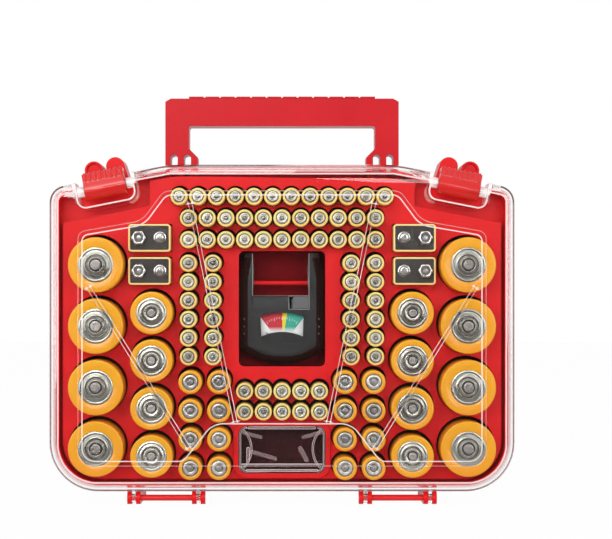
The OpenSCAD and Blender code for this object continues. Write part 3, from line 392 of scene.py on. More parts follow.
# Painted highlight: light grey on the tester's rounded front edges
BLACK_EDGE_PAINTED_HIGHLIGHT = moulded("Painted highlight on the tester's edges", (0.36, 0.37, 0.37), 0.35, edge=0.0001, grain=0.0)
GREY = moulded("Grey slider plastic", (0.085, 0.086, 0.088), 0.4, edge=0.0003, grain=0.1)
CLEAR_LID = clear("Clear lid plastic", (0.99, 0.993, 0.993))
CLEAR_PANEL = clear("Clear panel plastic", (0.995, 0.995, 0.995), ior=1.06)
# Painted highlights: part-white clear plastic for the lid's edges and beads
CLEAR_EDGE_PAINTED_HIGHLIGHT = clear("Painted highlight on the lid's edges", (1.0, 0.97, 0.96), rough=0.15, clearness=0.4)
CLEAR_SOFT_PAINTED_HIGHLIGHT = clear("Soft painted highlight on the lid's beads", (1.0, 0.96, 0.95), rough=0.12, clearness=0.72)
CLEAR_INSERT = clear("Clear insert plastic", (0.97, 0.96, 0.965), rough=0.03)
# Painted highlight: a nearly white clear plastic for the insert's edges
INSERT_EDGE_PAINTED_HIGHLIGHT = clear("Painted highlight on the insert's edges", (1.0, 0.93, 0.94), rough=0.25, clearness=0.08)
INSERT_RIB = clear("Clear insert rib", (1.0, 0.84, 0.85), rough=0.08, clearness=0.90)
CLEAR_WINDOW = clear("Clear window plastic", (0.99, 0.99, 0.99), rough=0.03, ior=1.2)
WIDE_STEEL = pressed_steel("Wide steel end", (0.40, 0.39, 0.345), 0.30, 0.5, 1.3)
STEEL = pressed_steel("Nickel-plated steel end", (0.56, 0.53, 0.48), 0.30, 0.5, 1.3)
PALE_STEEL = pressed_steel("Bright steel end", (0.66, 0.62, 0.51), 0.30, 0.4, 1.2)
BUTTON = pressed_steel("Dull steel button", (0.27, 0.25, 0.235), 0.45, 0.15, 1.0)
SMALL_BUTTON = pressed_steel("Dark steel button", (0.24, 0.23, 0.23), 0.4)
# Painted shade: darker steel for the cells' dips and the blocks' snap holes
GROOVE_PAINTED_SHADE = pressed_steel("Painted shade in the steel grooves", (0.16, 0.155, 0.15), 0.4)
SNAP_STEEL = pressed_steel("Bright snap terminal", (0.78, 0.77, 0.75), 0.2)
PIN_STEEL = pressed_steel("Bright pin steel", (0.62, 0.62, 0.63), 0.22)
ZINC = pressed_steel("Zinc-plated steel", (0.50, 0.51, 0.52), 0.4)
# Jackets and trim: upper side paler than lower, which is painted light
AMBER = jacket("Amber jacket", (0.80, 0.36, 0.008), (0.76, 0.26, 0.006))
GOLD = jacket("Gold jacket", (0.80, 0.66, 0.20), (0.90, 0.40, 0.09), rough=0.28)
GOLD_TRIM = jacket("Pale gold trim of the blocks", (0.95, 0.72, 0.30), (0.92, 0.58, 0.18))
DARK_TOP = moulded(
    "Dark block top", (0.022, 0.017, 0.015), 0.5, edge=0.0002, grain=0.25, gloss=0.35
)
NEEDLE = moulded("Black needle", (0.01, 0.01, 0.01), 0.35, edge=0.0001)
WHITE_PRINT = moulded("White print", (0.86, 0.86, 0.86), 0.5, edge=0.0001, grain=0.0)


# Meshes


def finish_piece(name, shape, materials, body, replaced=(), sharp=35):
    """Stands a mesh up, makes it an object and lets it ride with a body. Flat faces stay flat."""
    squared, broad_area, broad_width = 0.99999, 1.2e-5, 0.0017
    shape.transform(STAND)
    mesh = bpy.data.meshes.new(name)
    shape.to_mesh(mesh)
    shape.free()
    for material in materials:
        mesh.materials.append(material)
    mesh.shade_smooth()
    mesh.set_sharp_from_angle(angle=math.radians(sharp))
    for face in mesh.polygons:
        length = sum(
            (mesh.vertices[a].co - mesh.vertices[b].co).length for a, b in face.edge_keys
        )
        broad = face.area > broad_area and 2 * face.area / length > broad_width
        if broad or max(abs(part) for part in face.normal) > squared:
            face.use_smooth = False
    piece = bpy.data.objects.new(name, mesh)
    bpy.context.scene.collection.objects.link(piece)
    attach(piece, body)
    if replaced:
        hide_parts(*replaced)
    return piece


def own_shape(node, flat=False):
    """A CAD node's own shape as one merged mesh in the case's frame, its flat faces whole."""
    shape = bmesh.new()
    shape.from_mesh(NODES[node].data)
    bmesh.ops.remove_doubles(shape, verts=shape.verts, dist=1e-6)
    shape.transform(STAND.inverted())
    if flat:
        bmesh.ops.dissolve_limit(
            shape, angle_limit=math.radians(0.5), verts=shape.verts, edges=shape.edges
        )
    return shape


def turned(profile, steps):
    """A closed form turned round Z from (radius, height, finish) points, with its radii kept."""
    shape = bmesh.new()
    ring = shape.verts.layers.float.new("ring")
    points = [shape.verts.new((r, 0, z)) for r, z, _ in profile]
    edges = [shape.edges.new(pair) for pair in zip(points, points[1:])]
    bmesh.ops.spin(
        shape, geom=points + edges, axis=(0, 0, 1), cent=(0, 0, 0), dvec=(0, 0, 0),
        angle=math.tau, steps=steps, use_merge=True,
    )
    bmesh.ops.remove_doubles(shape, verts=shape.verts, dist=0.001)
    bmesh.ops.recalc_face_normals(shape, faces=shape.faces)
    for v in shape.verts:
        v[ring] = math.hypot(v.co.x, v.co.y)
    spans = [
        (min(a[0], b[0]), max(a[0], b[0]), min(a[1], b[1]), max(a[1], b[1]), b[2])
        for a, b in zip(profile, profile[1:])
    ]
    for face in shape.faces:
        radii = [v[ring] for v in face.verts]
        heights = [v.co.z for v in face.verts]
        for r0, r1, z0, z1, finish in spans:
            if (
                abs(min(radii) - r0) < 0.01 and abs(max(radii) - r1) < 0.01
                and abs(min(heights) - z0) < 0.01 and abs(max(heights) - z1) < 0.01
            ):
                face.material_index = finish
                break
    return shape


def copies(single, places, chance=None):
    """One mesh with a copy of a form at each place, each with its own lot number and turn."""
    whole = bmesh.new()
    lot = single.verts.layers.float.new("lot")
    rise = single.verts.layers.float.new("rise")
    high = max(v.co.y for v in single.verts)
    for place in places:
        number = chance.random() if chance else 0.5
        turn = Matrix.Rotation(chance.random() * math.tau if chance else 0, 4, "Z")
        single.transform(turn)
        for v in single.verts:
            v[lot] = number
            # rise, how high a point stands on its copy, drives the jackets' painted light
            v[rise] = 0.5 + 0.5 * v.co.y / high
        single.transform(Matrix.Translation(place))
        mesh = bpy.data.meshes.new("passing")
        single.to_mesh(mesh)
        whole.from_mesh(mesh)
        bpy.data.meshes.remove(mesh)
        single.transform((Matrix.Translation(place) @ turn).inverted())
    single.free()
    return whole


def join(shapes):
    """Several meshes as one."""
    whole = bmesh.new()
    for shape in shapes:
        mesh = bpy.data.meshes.new("passing")
        shape.to_mesh(mesh)
        whole.from_mesh(mesh)
        bpy.data.meshes.remove(mesh)
        shape.free()
    return whole


def places_in(node, size, rows):
    """Middle of each cell's back, from the node's box and the number of cells in each row."""
    lo, hi = case_box(node)
    step_x = (hi.x - lo.x - size[0]) / max(max(rows) - 1, 1)
    step_y = (hi.y - lo.y - size[1]) / max(len(rows) - 1, 1)
    middle = (lo.x + hi.x) / 2
    return [
        (middle + (i - (count - 1) / 2) * step_x, hi.y - size[1] / 2 - row * step_y, lo.z)
        for row, count in enumerate(rows)
        for i in range(count)
    ]


# The cells

# Finishes of a cell's faces; the dips take darker steel, which is painted shade
JACKET, END, KNOB, DIP = 0, 1, 2, 3


def wide_profile(r, length, mouth, boss, knob, rise):
    """Half section of a D or C cell: jacket, rolled edge, stepped steel end and button."""
    top = length - rise
    wide = mouth - boss
    return [
        (0, 0, END), (r * 0.55, 0, END), (r * 0.6, 0.25, END), (r - 1.3, 0.25, END),
        (r - 0.9, 0, JACKET), (r - 0.35, 0.06, JACKET), (r, 0.5, JACKET),
        (r, top - 0.75, JACKET), (r - 0.12, top - 0.32, JACKET), (r - 0.42, top - 0.06, JACKET),
        (r - 0.8, top, JACKET), (mouth + 0.35, top - 0.12, JACKET), (mouth, top - 0.3, JACKET),
        (mouth - 0.04, top - 0.55, DIP), (mouth - 0.35, top - 0.5, END),
        (mouth - 0.8, top - 0.3, END), (mouth - 1.2, top - 0.42, END),
        (mouth - 1.35, top - 0.85, DIP), (mouth - wide * 0.52, top - 1.0, END),
        (mouth - wide * 0.58, top - 0.8, END), (mouth - wide * 0.74, top - 0.72, END),
        (mouth - wide * 0.78, top - 0.95, DIP), (mouth - wide * 0.86, top - 0.95, DIP),
        (boss, top - 0.25, END), (boss - 0.3, top + 0.05, END), (boss - 0.8, top + 0.1, END),
        (knob + 0.55, top - 0.05, END), (knob + 0.12, top - 0.3, DIP), (knob, top - 0.1, DIP),
        (knob - 0.04, length - 0.35, KNOB), (knob - 0.16, length - 0.1, KNOB),
        (knob - 0.45, length, KNOB), (knob * 0.45, length - 0.06, KNOB),
        (0, length - 0.1, KNOB),
    ]


def narrow_profile(r, length, mouth, boss, knob, rise):
    """Half section of an AA or AAA cell: jacket, groove, domed steel end and button."""
    top = length - rise
    wide = mouth - boss
    return [
        (0, 0, END), (r * 0.5, 0, END), (r * 0.6, 0.2, END), (r - 0.7, 0.2, END),
        (r - 0.5, 0, JACKET), (r - 0.2, 0.05, JACKET), (r, 0.3, JACKET),
        (r, top - 0.6, JACKET), (r - 0.1, top - 0.22, JACKET), (r - 0.35, top, JACKET),
        (mouth + 0.15, top - 0.06, JACKET), (mouth, top - 0.2, JACKET),
        (mouth - 0.03, top - 0.6, DIP), (mouth - wide * 0.22, top - 0.62, DIP),
        (mouth - wide * 0.3, top - 0.3, END), (mouth - wide * 0.5, top - 0.08, END),
        (mouth - wide * 0.8, top + 0.02, END), (boss, top - 0.06, END),
        (boss - 0.12, top - 0.22, DIP), (knob + 0.3, top - 0.2, END),
        (knob + 0.1, top - 0.3, DIP), (knob, top - 0.1, KNOB), (knob, length - 0.3, KNOB),
        (knob - 0.12, length - 0.06, KNOB), (knob - 0.3, length, KNOB),
        (0, length - 0.03, KNOB),
    ]


# Kind: diameter, radii of the jacket's mouth, the boss and the button, its rise, section, steps
CELLS = {
    "d": (33.2, 10.5, 4.9, 3.3, 1.5, wide_profile, 64),
    "c": (25.6, 9.2, 5.0, 2.6, 1.5, wide_profile, 56),
    "aa": (14.2, 5.0, 3.0, 2.05, 1.0, narrow_profile, 40),
    "aaa": (10.4, 3.8, 2.1, 1.15, 1.0, narrow_profile, 32),
}
# Node: kind of cell and the number in each row
GROUPS = {
    "d_cells_left": ("d", [1] * 4), "d_cells_right": ("d", [1] * 4),
    "c_cells_left": ("c", [1] * 4), "c_cells_right": ("c", [1] * 4),
    "aa_cells_left": ("aa", [2] * 4), "aa_cells_right": ("aa", [2] * 4),
    "aaa_cells_top": ("aaa", [12, 11, 11]), "aaa_cells_left": ("aaa", [2] * 6),
    "aaa_cells_right": ("aaa", [2] * 6), "aaa_cells_bottom": ("aaa", [5, 5]),
}
# The 9 V blocks' nodes, and their width and height end on
BLOCK_GROUPS = ("nine_volts_left", "nine_volts_right")
BLOCK = (25.4, 16.6)


def put_cells():
    """The round cells of every group, each with its steel end and its jacket."""
    chance = random.Random(7)
    for node, (kind, rows) in GROUPS.items():
        across, mouth, boss, knob, rise, section, steps = CELLS[kind]
        lo, hi = case_box(node)
        single = turned(section(across / 2, hi.z - lo.z, mouth, boss, knob, rise), steps)
        whole = copies(single, places_in(node, (across, across), rows), chance)
        finish_piece(
            node.replace("cells", "jacketed_cells"), whole,
            {
                "aaa": [GOLD, PALE_STEEL, SMALL_BUTTON, GROOVE_PAINTED_SHADE],
                "aa": [AMBER, STEEL, SMALL_BUTTON, GROOVE_PAINTED_SHADE],
            }.get(kind, [AMBER, WIDE_STEEL, BUTTON, GROOVE_PAINTED_SHADE]),
            "case", [node], sharp=50,
        )


# Finishes of a block's faces; the snaps' holes take darker steel, which is painted shade
TRIM, TOP, SNAP, HOLE = 0, 1, 2, 3


def block_shape(length):
    """A 9 V block: folded metal jacket and the dark top in it."""
    terminal_rise = 2.4
    edge_r = 2.0
    fold = 0.75
    height = length - terminal_rise
    shape = bmesh.new()
    bmesh.ops.create_cube(shape, size=1)
    bmesh.ops.scale(shape, vec=(*BLOCK, height), verts=shape.verts)
    bmesh.ops.translate(shape, vec=(0, 0, height / 2), verts=shape.verts)
    upright = [e for e in shape.edges if abs(e.verts[0].co.z - e.verts[1].co.z) > 1]
    bmesh.ops.bevel(
        shape, geom=upright, offset=edge_r, segments=6, profile=0.5, affect="EDGES", material=-1,
    )
    top = max(shape.faces, key=lambda f: f.calc_center_median().z)
    rim = list(top.edges)
    bmesh.ops.bevel(
        shape, geom=rim, offset=0.35, segments=3, profile=0.5, affect="EDGES", material=-1,
    )
    top = max(shape.faces, key=lambda f: f.calc_center_median().z)
    for thick, depth, finish in ((fold - 0.35, 0, TRIM), (0.12, -0.35, TRIM), (0.2, -0.15, TOP)):
        bmesh.ops.inset_region(shape, faces=[top], thickness=thick, depth=depth)
        if finish == TOP:
            top.material_index = TOP
    bmesh.ops.recalc_face_normals(shape, faces=shape.faces)
    return shape


def snap_shape(profile, petals=0):
    """A snap terminal turned from its section, its rim drawn out into petals."""
    shape = turned(profile, 48)
    ring = shape.verts.layers.float["ring"]
    widest = max(v[ring] for v in shape.verts)
    for v in shape.verts:
        if petals and v[ring] > widest * 0.8:
            swell = 1 + 0.07 * math.cos(petals * math.atan2(v.co.y, v.co.x))
            v.co.x *= swell
            v.co.y *= swell
    return shape


def put_blocks():
    """The 9 V blocks, those on the right turned end for end."""
    off_middle = 6.35
    for node in BLOCK_GROUPS:
        lo, hi = case_box(node)
        length = hi.z - lo.z
        top = length - 3.0
        socket = snap_shape([
            (0, top, SNAP), (4.1, top, SNAP), (4.15, length - 0.7, SNAP),
            (3.8, length - 0.3, SNAP), (3.1, length - 0.25, SNAP), (2.65, length - 0.6, SNAP),
            (2.5, top + 0.9, HOLE), (1.5, top + 0.9, HOLE), (1.3, top + 1.2, SNAP),
            (0, top + 1.3, SNAP),
        ], petals=6)
        stud = snap_shape([
            (0, top, SNAP), (3.7, top, SNAP), (3.7, top + 0.75, SNAP), (3.3, top + 0.95, SNAP),
            (2.6, top + 0.9, HOLE), (2.35, top + 1.0, HOLE), (2.3, length - 0.8, SNAP),
            (2.55, length - 0.5, SNAP), (2.3, length - 0.1, SNAP), (1.7, length, SNAP),
            (0, length - 0.1, SNAP),
        ])
        bmesh.ops.translate(socket, vec=(-off_middle, 0, 0), verts=socket.verts)
        bmesh.ops.translate(stud, vec=(off_middle, 0, 0), verts=stud.verts)
        block = join([block_shape(length), socket, stud])
        if lo.x > 0:
            block.transform(Matrix.Rotation(math.pi, 4, "Z"))
        whole = copies(block, places_in(node, BLOCK, [1, 1]))
        finish_piece(
            node.replace("nine_volts", "nine_volt_blocks"), whole,
            [GOLD_TRIM, DARK_TOP, SNAP_STEEL, GROOVE_PAINTED_SHADE], "case", [node], sharp=50,
        )


# The red tray

# Slots of the tray: SHADE holds painted shade for the wells and under the insert, POCKET a lighter
# painted shade for the tester's pocket
SHADE, POCKET = 1, 2


def in_well(point):
    """Whether a point of the case's frame lies in the well of a cell."""
    return any(
        abs(point.x - x) < half_x and abs(point.y - y) < half_y
        and (square or math.hypot(point.x - x, point.y - y) < half_x)
        for x, y, half_x, half_y, square in WELLS
    )


def find_wells():
    """Middle and half size of every well, a little over its cell, and whether it is square."""
    room, block_room = 2.2, 1
    wells = []
    for node, (kind, rows) in GROUPS.items():
        across = CELLS[kind][0]
        half = across / 2 + room
        wells += [
            (x, y, half, half, False) for x, y, _ in places_in(node, (across, across), rows)
        ]
    for node in BLOCK_GROUPS:
        wells += [
            (x, y, BLOCK[0] / 2 + block_room, BLOCK[1] / 2 + block_room, True)
            for x, y, _ in places_in(node, BLOCK, [1, 1])
        ]
    return wells


def apart(one, other):
    """Whether two round wells, each its middle and radius, keep clear of each other."""
    least = 0.1
    return math.hypot(one[0] - other[0], one[1] - other[1]) > one[2] + other[2] + least


def opened_wells(shape):
    """Opens every round well upwards, where its cell leaves a gap as it rests on its foot."""
    spare, lift, deep, high = 1.1, 0.9, 9.0, 6.0
    objects = []
    mesh = bpy.data.meshes.new("passing")
    shape.to_mesh(mesh)
    shape.free()
    body = bpy.data.objects.new("passing", mesh)
    objects.append(body)
    lots = []
    for node, (kind, rows) in GROUPS.items():
        across = CELLS[kind][0]
        r = across / 2 + spare
        for x, y, _ in places_in(node, (across, across), rows):
            spot = (x, y + lift, r)
            lot = next((lot for lot in lots if all(apart(spot, other) for other in lot)), None)
            if lot is None:
                lots.append([spot])
            else:
                lot.append(spot)
    for lot in lots:
        cutter = bmesh.new()
        for x, y, r in lot:
            bmesh.ops.create_cone(
                cutter, cap_ends=True, segments=40, radius1=r, radius2=r, depth=deep + high,
                matrix=Matrix.Translation((x, y, DECK + (high - deep) / 2)),
            )
        mesh = bpy.data.meshes.new("passing")
        cutter.to_mesh(mesh)
        cutter.free()
        tool = bpy.data.objects.new("passing", mesh)
        objects.append(tool)
        cut = body.modifiers.new("wells", "BOOLEAN")
        cut.operation, cut.solver, cut.object = "DIFFERENCE", "EXACT", tool
    for passing in objects:
        bpy.context.scene.collection.objects.link(passing)
    seen = body.evaluated_get(bpy.context.evaluated_depsgraph_get())
    made = bpy.data.meshes.new_from_object(seen)
    whole = bmesh.new()
    whole.from_mesh(made)
    bpy.data.meshes.remove(made)
    for passing in objects:
        mesh = passing.data
        bpy.data.objects.remove(passing)
        bpy.data.meshes.remove(mesh)
    bmesh.ops.remove_doubles(whole, verts=whole.verts, dist=0.002)
    return whole


def put_tray():
    """The red tray, with painted shade in its wells and under the insert, and a lighter painted
    shade in the tester's pocket.
    """
    insert_lo, insert_hi = case_box("coin_tray")
    tester_lo, tester_hi = case_box("tester_front")
    insert_room, tester_side, tester_end = 1, 1.5, 2
    well_depth, floor_depth = 0.2, 1
    shape = opened_wells(own_shape("tray"))
    for face in shape.faces:
        middle = face.calc_center_median()
        on_floor = middle.z < DECK - floor_depth
        in_insert = (
            on_floor and insert_lo.x - insert_room < middle.x < insert_hi.x + insert_room
            and insert_lo.y - insert_room < middle.y < insert_hi.y + insert_room
        )
        in_tester = (
            on_floor and abs(middle.x) < tester_hi.x + tester_side
            and tester_lo.y - tester_end < middle.y < tester_hi.y + tester_end
        )
        # Painted shade on faces deep in a well or under the insert, a lighter painted shade in the
        # tester's pocket
        if (middle.z < DECK - well_depth and in_well(middle)) or in_insert:
            face.material_index = SHADE
        elif in_tester:
            face.material_index = POCKET
    finish_piece(
        "moulded_tray", shape, [RED_TRAY, PAINTED_WELL_SHADE, PAINTED_POCKET_SHADE], "case", ["tray"],
        sharp=32,
    )


# The latches


def latch_place(side, depth):
    """Where a latch's pin stands and how it tilts, at a depth: side is 1 on the right."""
    return Matrix.Translation((LATCH_PIN[0] * side, LATCH_PIN[1], depth)) @ Matrix.Rotation(
        math.radians(-LATCH_TILT * side), 4, "Z"
    )


def put_latches():
    """The latches, whose plates lean back above their pins and so catch a band of light."""
    depth, start, reach, bend, steepest = 60.6, -3.6, 20.0, 0.021, 0.25
    cuts, pitch = 26, 0.8
    for name, side in (("latch_left", -1), ("latch_right", 1)):
        shape = own_shape(name)
        place = latch_place(side, depth)
        shape.transform(place.inverted())
        for i in range(cuts):
            bmesh.ops.bisect_plane(
                shape, geom=shape.verts[:] + shape.edges[:] + shape.faces[:],
                plane_co=(0, start + i * pitch, 0), plane_no=(0, 1, 0),
            )
        for v in shape.verts:
            up = min(max(v.co.y - start, 0), reach)
            soft = min(up, steepest / (2 * bend))
            v.co.z -= bend * soft ** 2 + steepest * (up - soft)
        shape.transform(place)
        finish_piece("moulded_" + name, shape, [RED_LATCH], name, [name])


# The clear lid

# Slots of the lid: a bright and a soft painted highlight, and the clear panel
EDGE_HIGHLIGHT_PAINTED, SOFT, PANEL = 1, 2, 3


def drawn_face(shape, corners, height):
    """A flat face from its left half's corners and their roundings, and their mirror images."""
    whole = corners + [((-x, y), cut) for (x, y), cut in reversed(corners) if x != 0]
    points = [shape.verts.new((x, y, height)) for (x, y), _ in whole]
    shape.faces.new(points)
    for point, (_, cut) in zip(points, whole):
        if cut:
            bmesh.ops.bevel(
                shape, geom=[point], offset=cut, segments=6, profile=0.5, affect="VERTICES",
                material=-1,
            )
    return max(shape.faces, key=lambda f: len(f.verts))


def raised_face(shape, face, height):
    """Raises a face, and gives the face on top."""
    made = bmesh.ops.extrude_face_region(shape, geom=[face])["geom"]
    corners = [part for part in made if isinstance(part, bmesh.types.BMVert)]
    bmesh.ops.translate(shape, vec=(0, 0, height), verts=corners)
    return next(part for part in made if isinstance(part, bmesh.types.BMFace))


def lined_step(corners, base, height, line, finish):
    """A raised step of the lid, with its rounded rim and a line inside it in a painted highlight.
    """
    shape = bmesh.new()
    top = raised_face(shape, drawn_face(shape, corners, base), height)
    for face in shape.faces:
        face.material_index = PANEL
    rims = bmesh.ops.inset_region(shape, faces=[top], thickness=line + 0.4, depth=0)["faces"]
    for rim in rims:
        rim.material_index = finish
    bmesh.ops.recalc_face_normals(shape, faces=shape.faces)
    corners = [
        e for e in shape.edges
        if e.calc_face_angle() > 1 and min(v.co.z for v in e.verts) > base + height / 2
    ]
    bmesh.ops.bevel(
        shape, geom=corners, offset=0.4, segments=3, profile=0.5, affect="EDGES", material=finish
    )
    return shape


def bead(start, end, base):
    """A bead across the lid's panel, from its start to its end, with soft painted highlights along
    its sides.
    """
    across, rise = 2.6, 0.57
    run = Vector(end) - Vector(start)
    half = run.length / 2
    corners = [((-half, -across / 2), 0.2), ((-half, across / 2), 0.2)]
    shape = lined_step(corners, 0, rise, 0.15, SOFT)
    middle = (Vector(start) + Vector(end)) / 2
    shape.transform(
        Matrix.Translation((*middle, base)) @ Matrix.Rotation(math.atan2(run.y, run.x), 4, "Z")
    )
    return shape


def notch_band(side, base):
    """The raised band round the foot of a latch's notch in the lid, all of it a painted highlight.
    """
    half, low, high, corner, across, rise = 19.2, -12.0, 30, 6.8, 2.0, 0.35
    shape = bmesh.new()
    whole = drawn_face(shape, [((-half, high), 0), ((-half, low), corner)], 0)
    bmesh.ops.inset_region(shape, faces=[whole], thickness=across, depth=0)
    bmesh.ops.delete(shape, geom=[whole], context="FACES_ONLY")
    bmesh.ops.bisect_plane(
        shape, geom=shape.verts[:] + shape.edges[:] + shape.faces[:],
        plane_co=(0, 0.4, 0), plane_no=(0, 1, 0), clear_outer=True,
    )
    loose = [v for v in shape.verts if not v.link_faces]
    bmesh.ops.delete(shape, geom=loose, context="VERTS")
    made = bmesh.ops.extrude_face_region(shape, geom=shape.faces[:])["geom"]
    corners = [part for part in made if isinstance(part, bmesh.types.BMVert)]
    bmesh.ops.translate(shape, vec=(0, 0, rise), verts=corners)
    bmesh.ops.recalc_face_normals(shape, faces=shape.faces)
    edges = [
        e for e in shape.edges
        if len(e.link_faces) == 2 and e.calc_face_angle() > 1
        and min(v.co.z for v in e.verts) > rise / 2
    ]
    bmesh.ops.bevel(
        shape, geom=edges, offset=0.25, segments=3, profile=0.5, affect="EDGES", material=EDGE_HIGHLIGHT_PAINTED
    )
    for face in shape.faces:
        face.material_index = EDGE_HIGHLIGHT_PAINTED
    shape.transform(latch_place(side, base))
    return shape


# Half of each outline of the lid's panel, corner by corner, with the rounding of each corner
PANEL_FOOT = [
    ((-121.6, 25.0), 9), ((-121.6, 164.6), 4.2), ((-83.5, 171.3), 4.7), ((-70.2, 189.1), 3.2),
]
PANEL_TOP = [
    ((-119.3, 27.6), 8), ((-119.3, 162.7), 3.6), ((-82.3, 169.0), 5.0), ((-69.0, 186.9), 3.4),
]
PANEL_NOTCH = [((-58.5, 27.6), 3.0), ((-41.0, 50.0), 5.5)]
BEADS = (((-115, 131.5), (-55.5, 36.1)), ((-54.6, 181.5), (-27.7, 51.6)))


def put_lid():
    """The clear lid: its shell, and the panel, beads and notches with painted highlights on their
    edges.
    """
    shape = own_shape("lid", flat=True)
    panel_rise, bead_rise, wall, gap = 1.0, 0.6, 1.9, 0.01
    panel_half, panel_low, panel_high = 121, 24, 190
    notch_depth, notch_side = 5, 80
    ear_lo, ear_hi = (82, 182, 56.5), (130, 201, 66)
    face = max(v.co.z for v in shape.verts) - panel_rise - bead_rise
    inner = face - wall
    bmesh.ops.bisect_plane(
        shape, geom=shape.verts[:] + shape.edges[:] + shape.faces[:],
        plane_co=(0, 0, face + 0.02), plane_no=(0, 0, 1), clear_outer=True,
    )
    bmesh.ops.holes_fill(shape, edges=[e for e in shape.edges if e.is_boundary])
    for v in shape.verts:
        in_panel = abs(v.co.x) < panel_half and panel_low < v.co.y < panel_high
        if v.co.z > face:
            v.co.z = face
        elif in_panel and abs(v.co.z - inner - panel_rise) < 0.05:
            v.co.z = inner
    bmesh.ops.remove_doubles(shape, verts=shape.verts, dist=0.005)
    bmesh.ops.dissolve_limit(
        shape, angle_limit=math.radians(0.5), verts=shape.verts, edges=shape.edges
    )
    flats = [
        f for f in shape.faces if f.normal.z > 0.99 and f.calc_center_median().z > face - 0.05
    ]
    # A thin rim round every top face takes a painted highlight
    rims = bmesh.ops.inset_region(
        shape, faces=flats, thickness=0.9, depth=0, use_boundary=True, use_even_offset=True
    )["faces"]
    for rim in rims:
        rim.material_index = EDGE_HIGHLIGHT_PAINTED
    # The notches' edges are rounded in a painted highlight
    notches = [
        e for e in shape.edges
        if len(e.link_faces) == 2 and e.is_convex and e.calc_face_angle() > math.radians(50)
        and min(v.co.z for v in e.verts) > face - notch_depth
        and max(abs(v.co.x) for v in e.verts) > notch_side
    ]
    bmesh.ops.bevel(
        shape, geom=notches, offset=0.9, segments=4, profile=0.5, affect="EDGES",
        clamp_overlap=True, material=EDGE_HIGHLIGHT_PAINTED,
    )
    # The latch pin's ears take a painted highlight
    for f in shape.faces:
        middle = f.calc_center_median()
        spot = (abs(middle.x), middle.y, middle.z)
        if all(low < part < high for low, part, high in zip(ear_lo, spot, ear_hi)):
            f.material_index = EDGE_HIGHLIGHT_PAINTED
    low, high = face + gap, face + gap * 2 + panel_rise / 2
    parts = [
        shape, lined_step(PANEL_FOOT, low, panel_rise / 2 - gap, 0.0, SOFT),
        lined_step(PANEL_NOTCH[::-1] + PANEL_TOP, high, panel_rise / 2 - gap, 0.35, EDGE_HIGHLIGHT_PAINTED),
    ]
    parts += [notch_band(side, face + gap) for side in (1, -1)]
    for start, end in BEADS:
        for side in (1, -1):
            ends = [(x * side, y) for x, y in (start, end)]
            parts.append(bead(*ends, face + panel_rise + gap * 2))
    finish_piece(
        "clear_lid", join(parts), [CLEAR_LID, CLEAR_EDGE_PAINTED_HIGHLIGHT, CLEAR_SOFT_PAINTED_HIGHLIGHT, CLEAR_PANEL], "lid",
        ["lid"], sharp=40,
    )


# The cell tester


def tester_drop(x, y, box_lo, box_hi, gap):
    """How far the tester's face falls back at a point: rounded sides and foot, and a scoop."""
    half = (box_hi.x - box_lo.x) / 2
    bowl_r = 40.0
    round_r = 6.5
    bowl_y = box_lo.y + bowl_r
    side = half - abs(x)
    foot = bowl_r - math.hypot(x, y - bowl_y) if y < bowl_y else side
    taper = half - 3.2 * max(0, y - (box_hi.y - 16)) / 16 - abs(x)
    near = max(0, min(side, foot, taper))
    drop = 0.0
    if near < round_r:
        drop = 0.78 * (round_r - math.sqrt(round_r ** 2 - (round_r - near) ** 2))
    left, right, floor = gap
    scoop_h = 8.2
    if left < x < right and floor - scoop_h < y <= floor + 0.1:
        drop = max(drop, 1.45 * ((y - floor + scoop_h) / scoop_h) ** 1.6)
    return drop


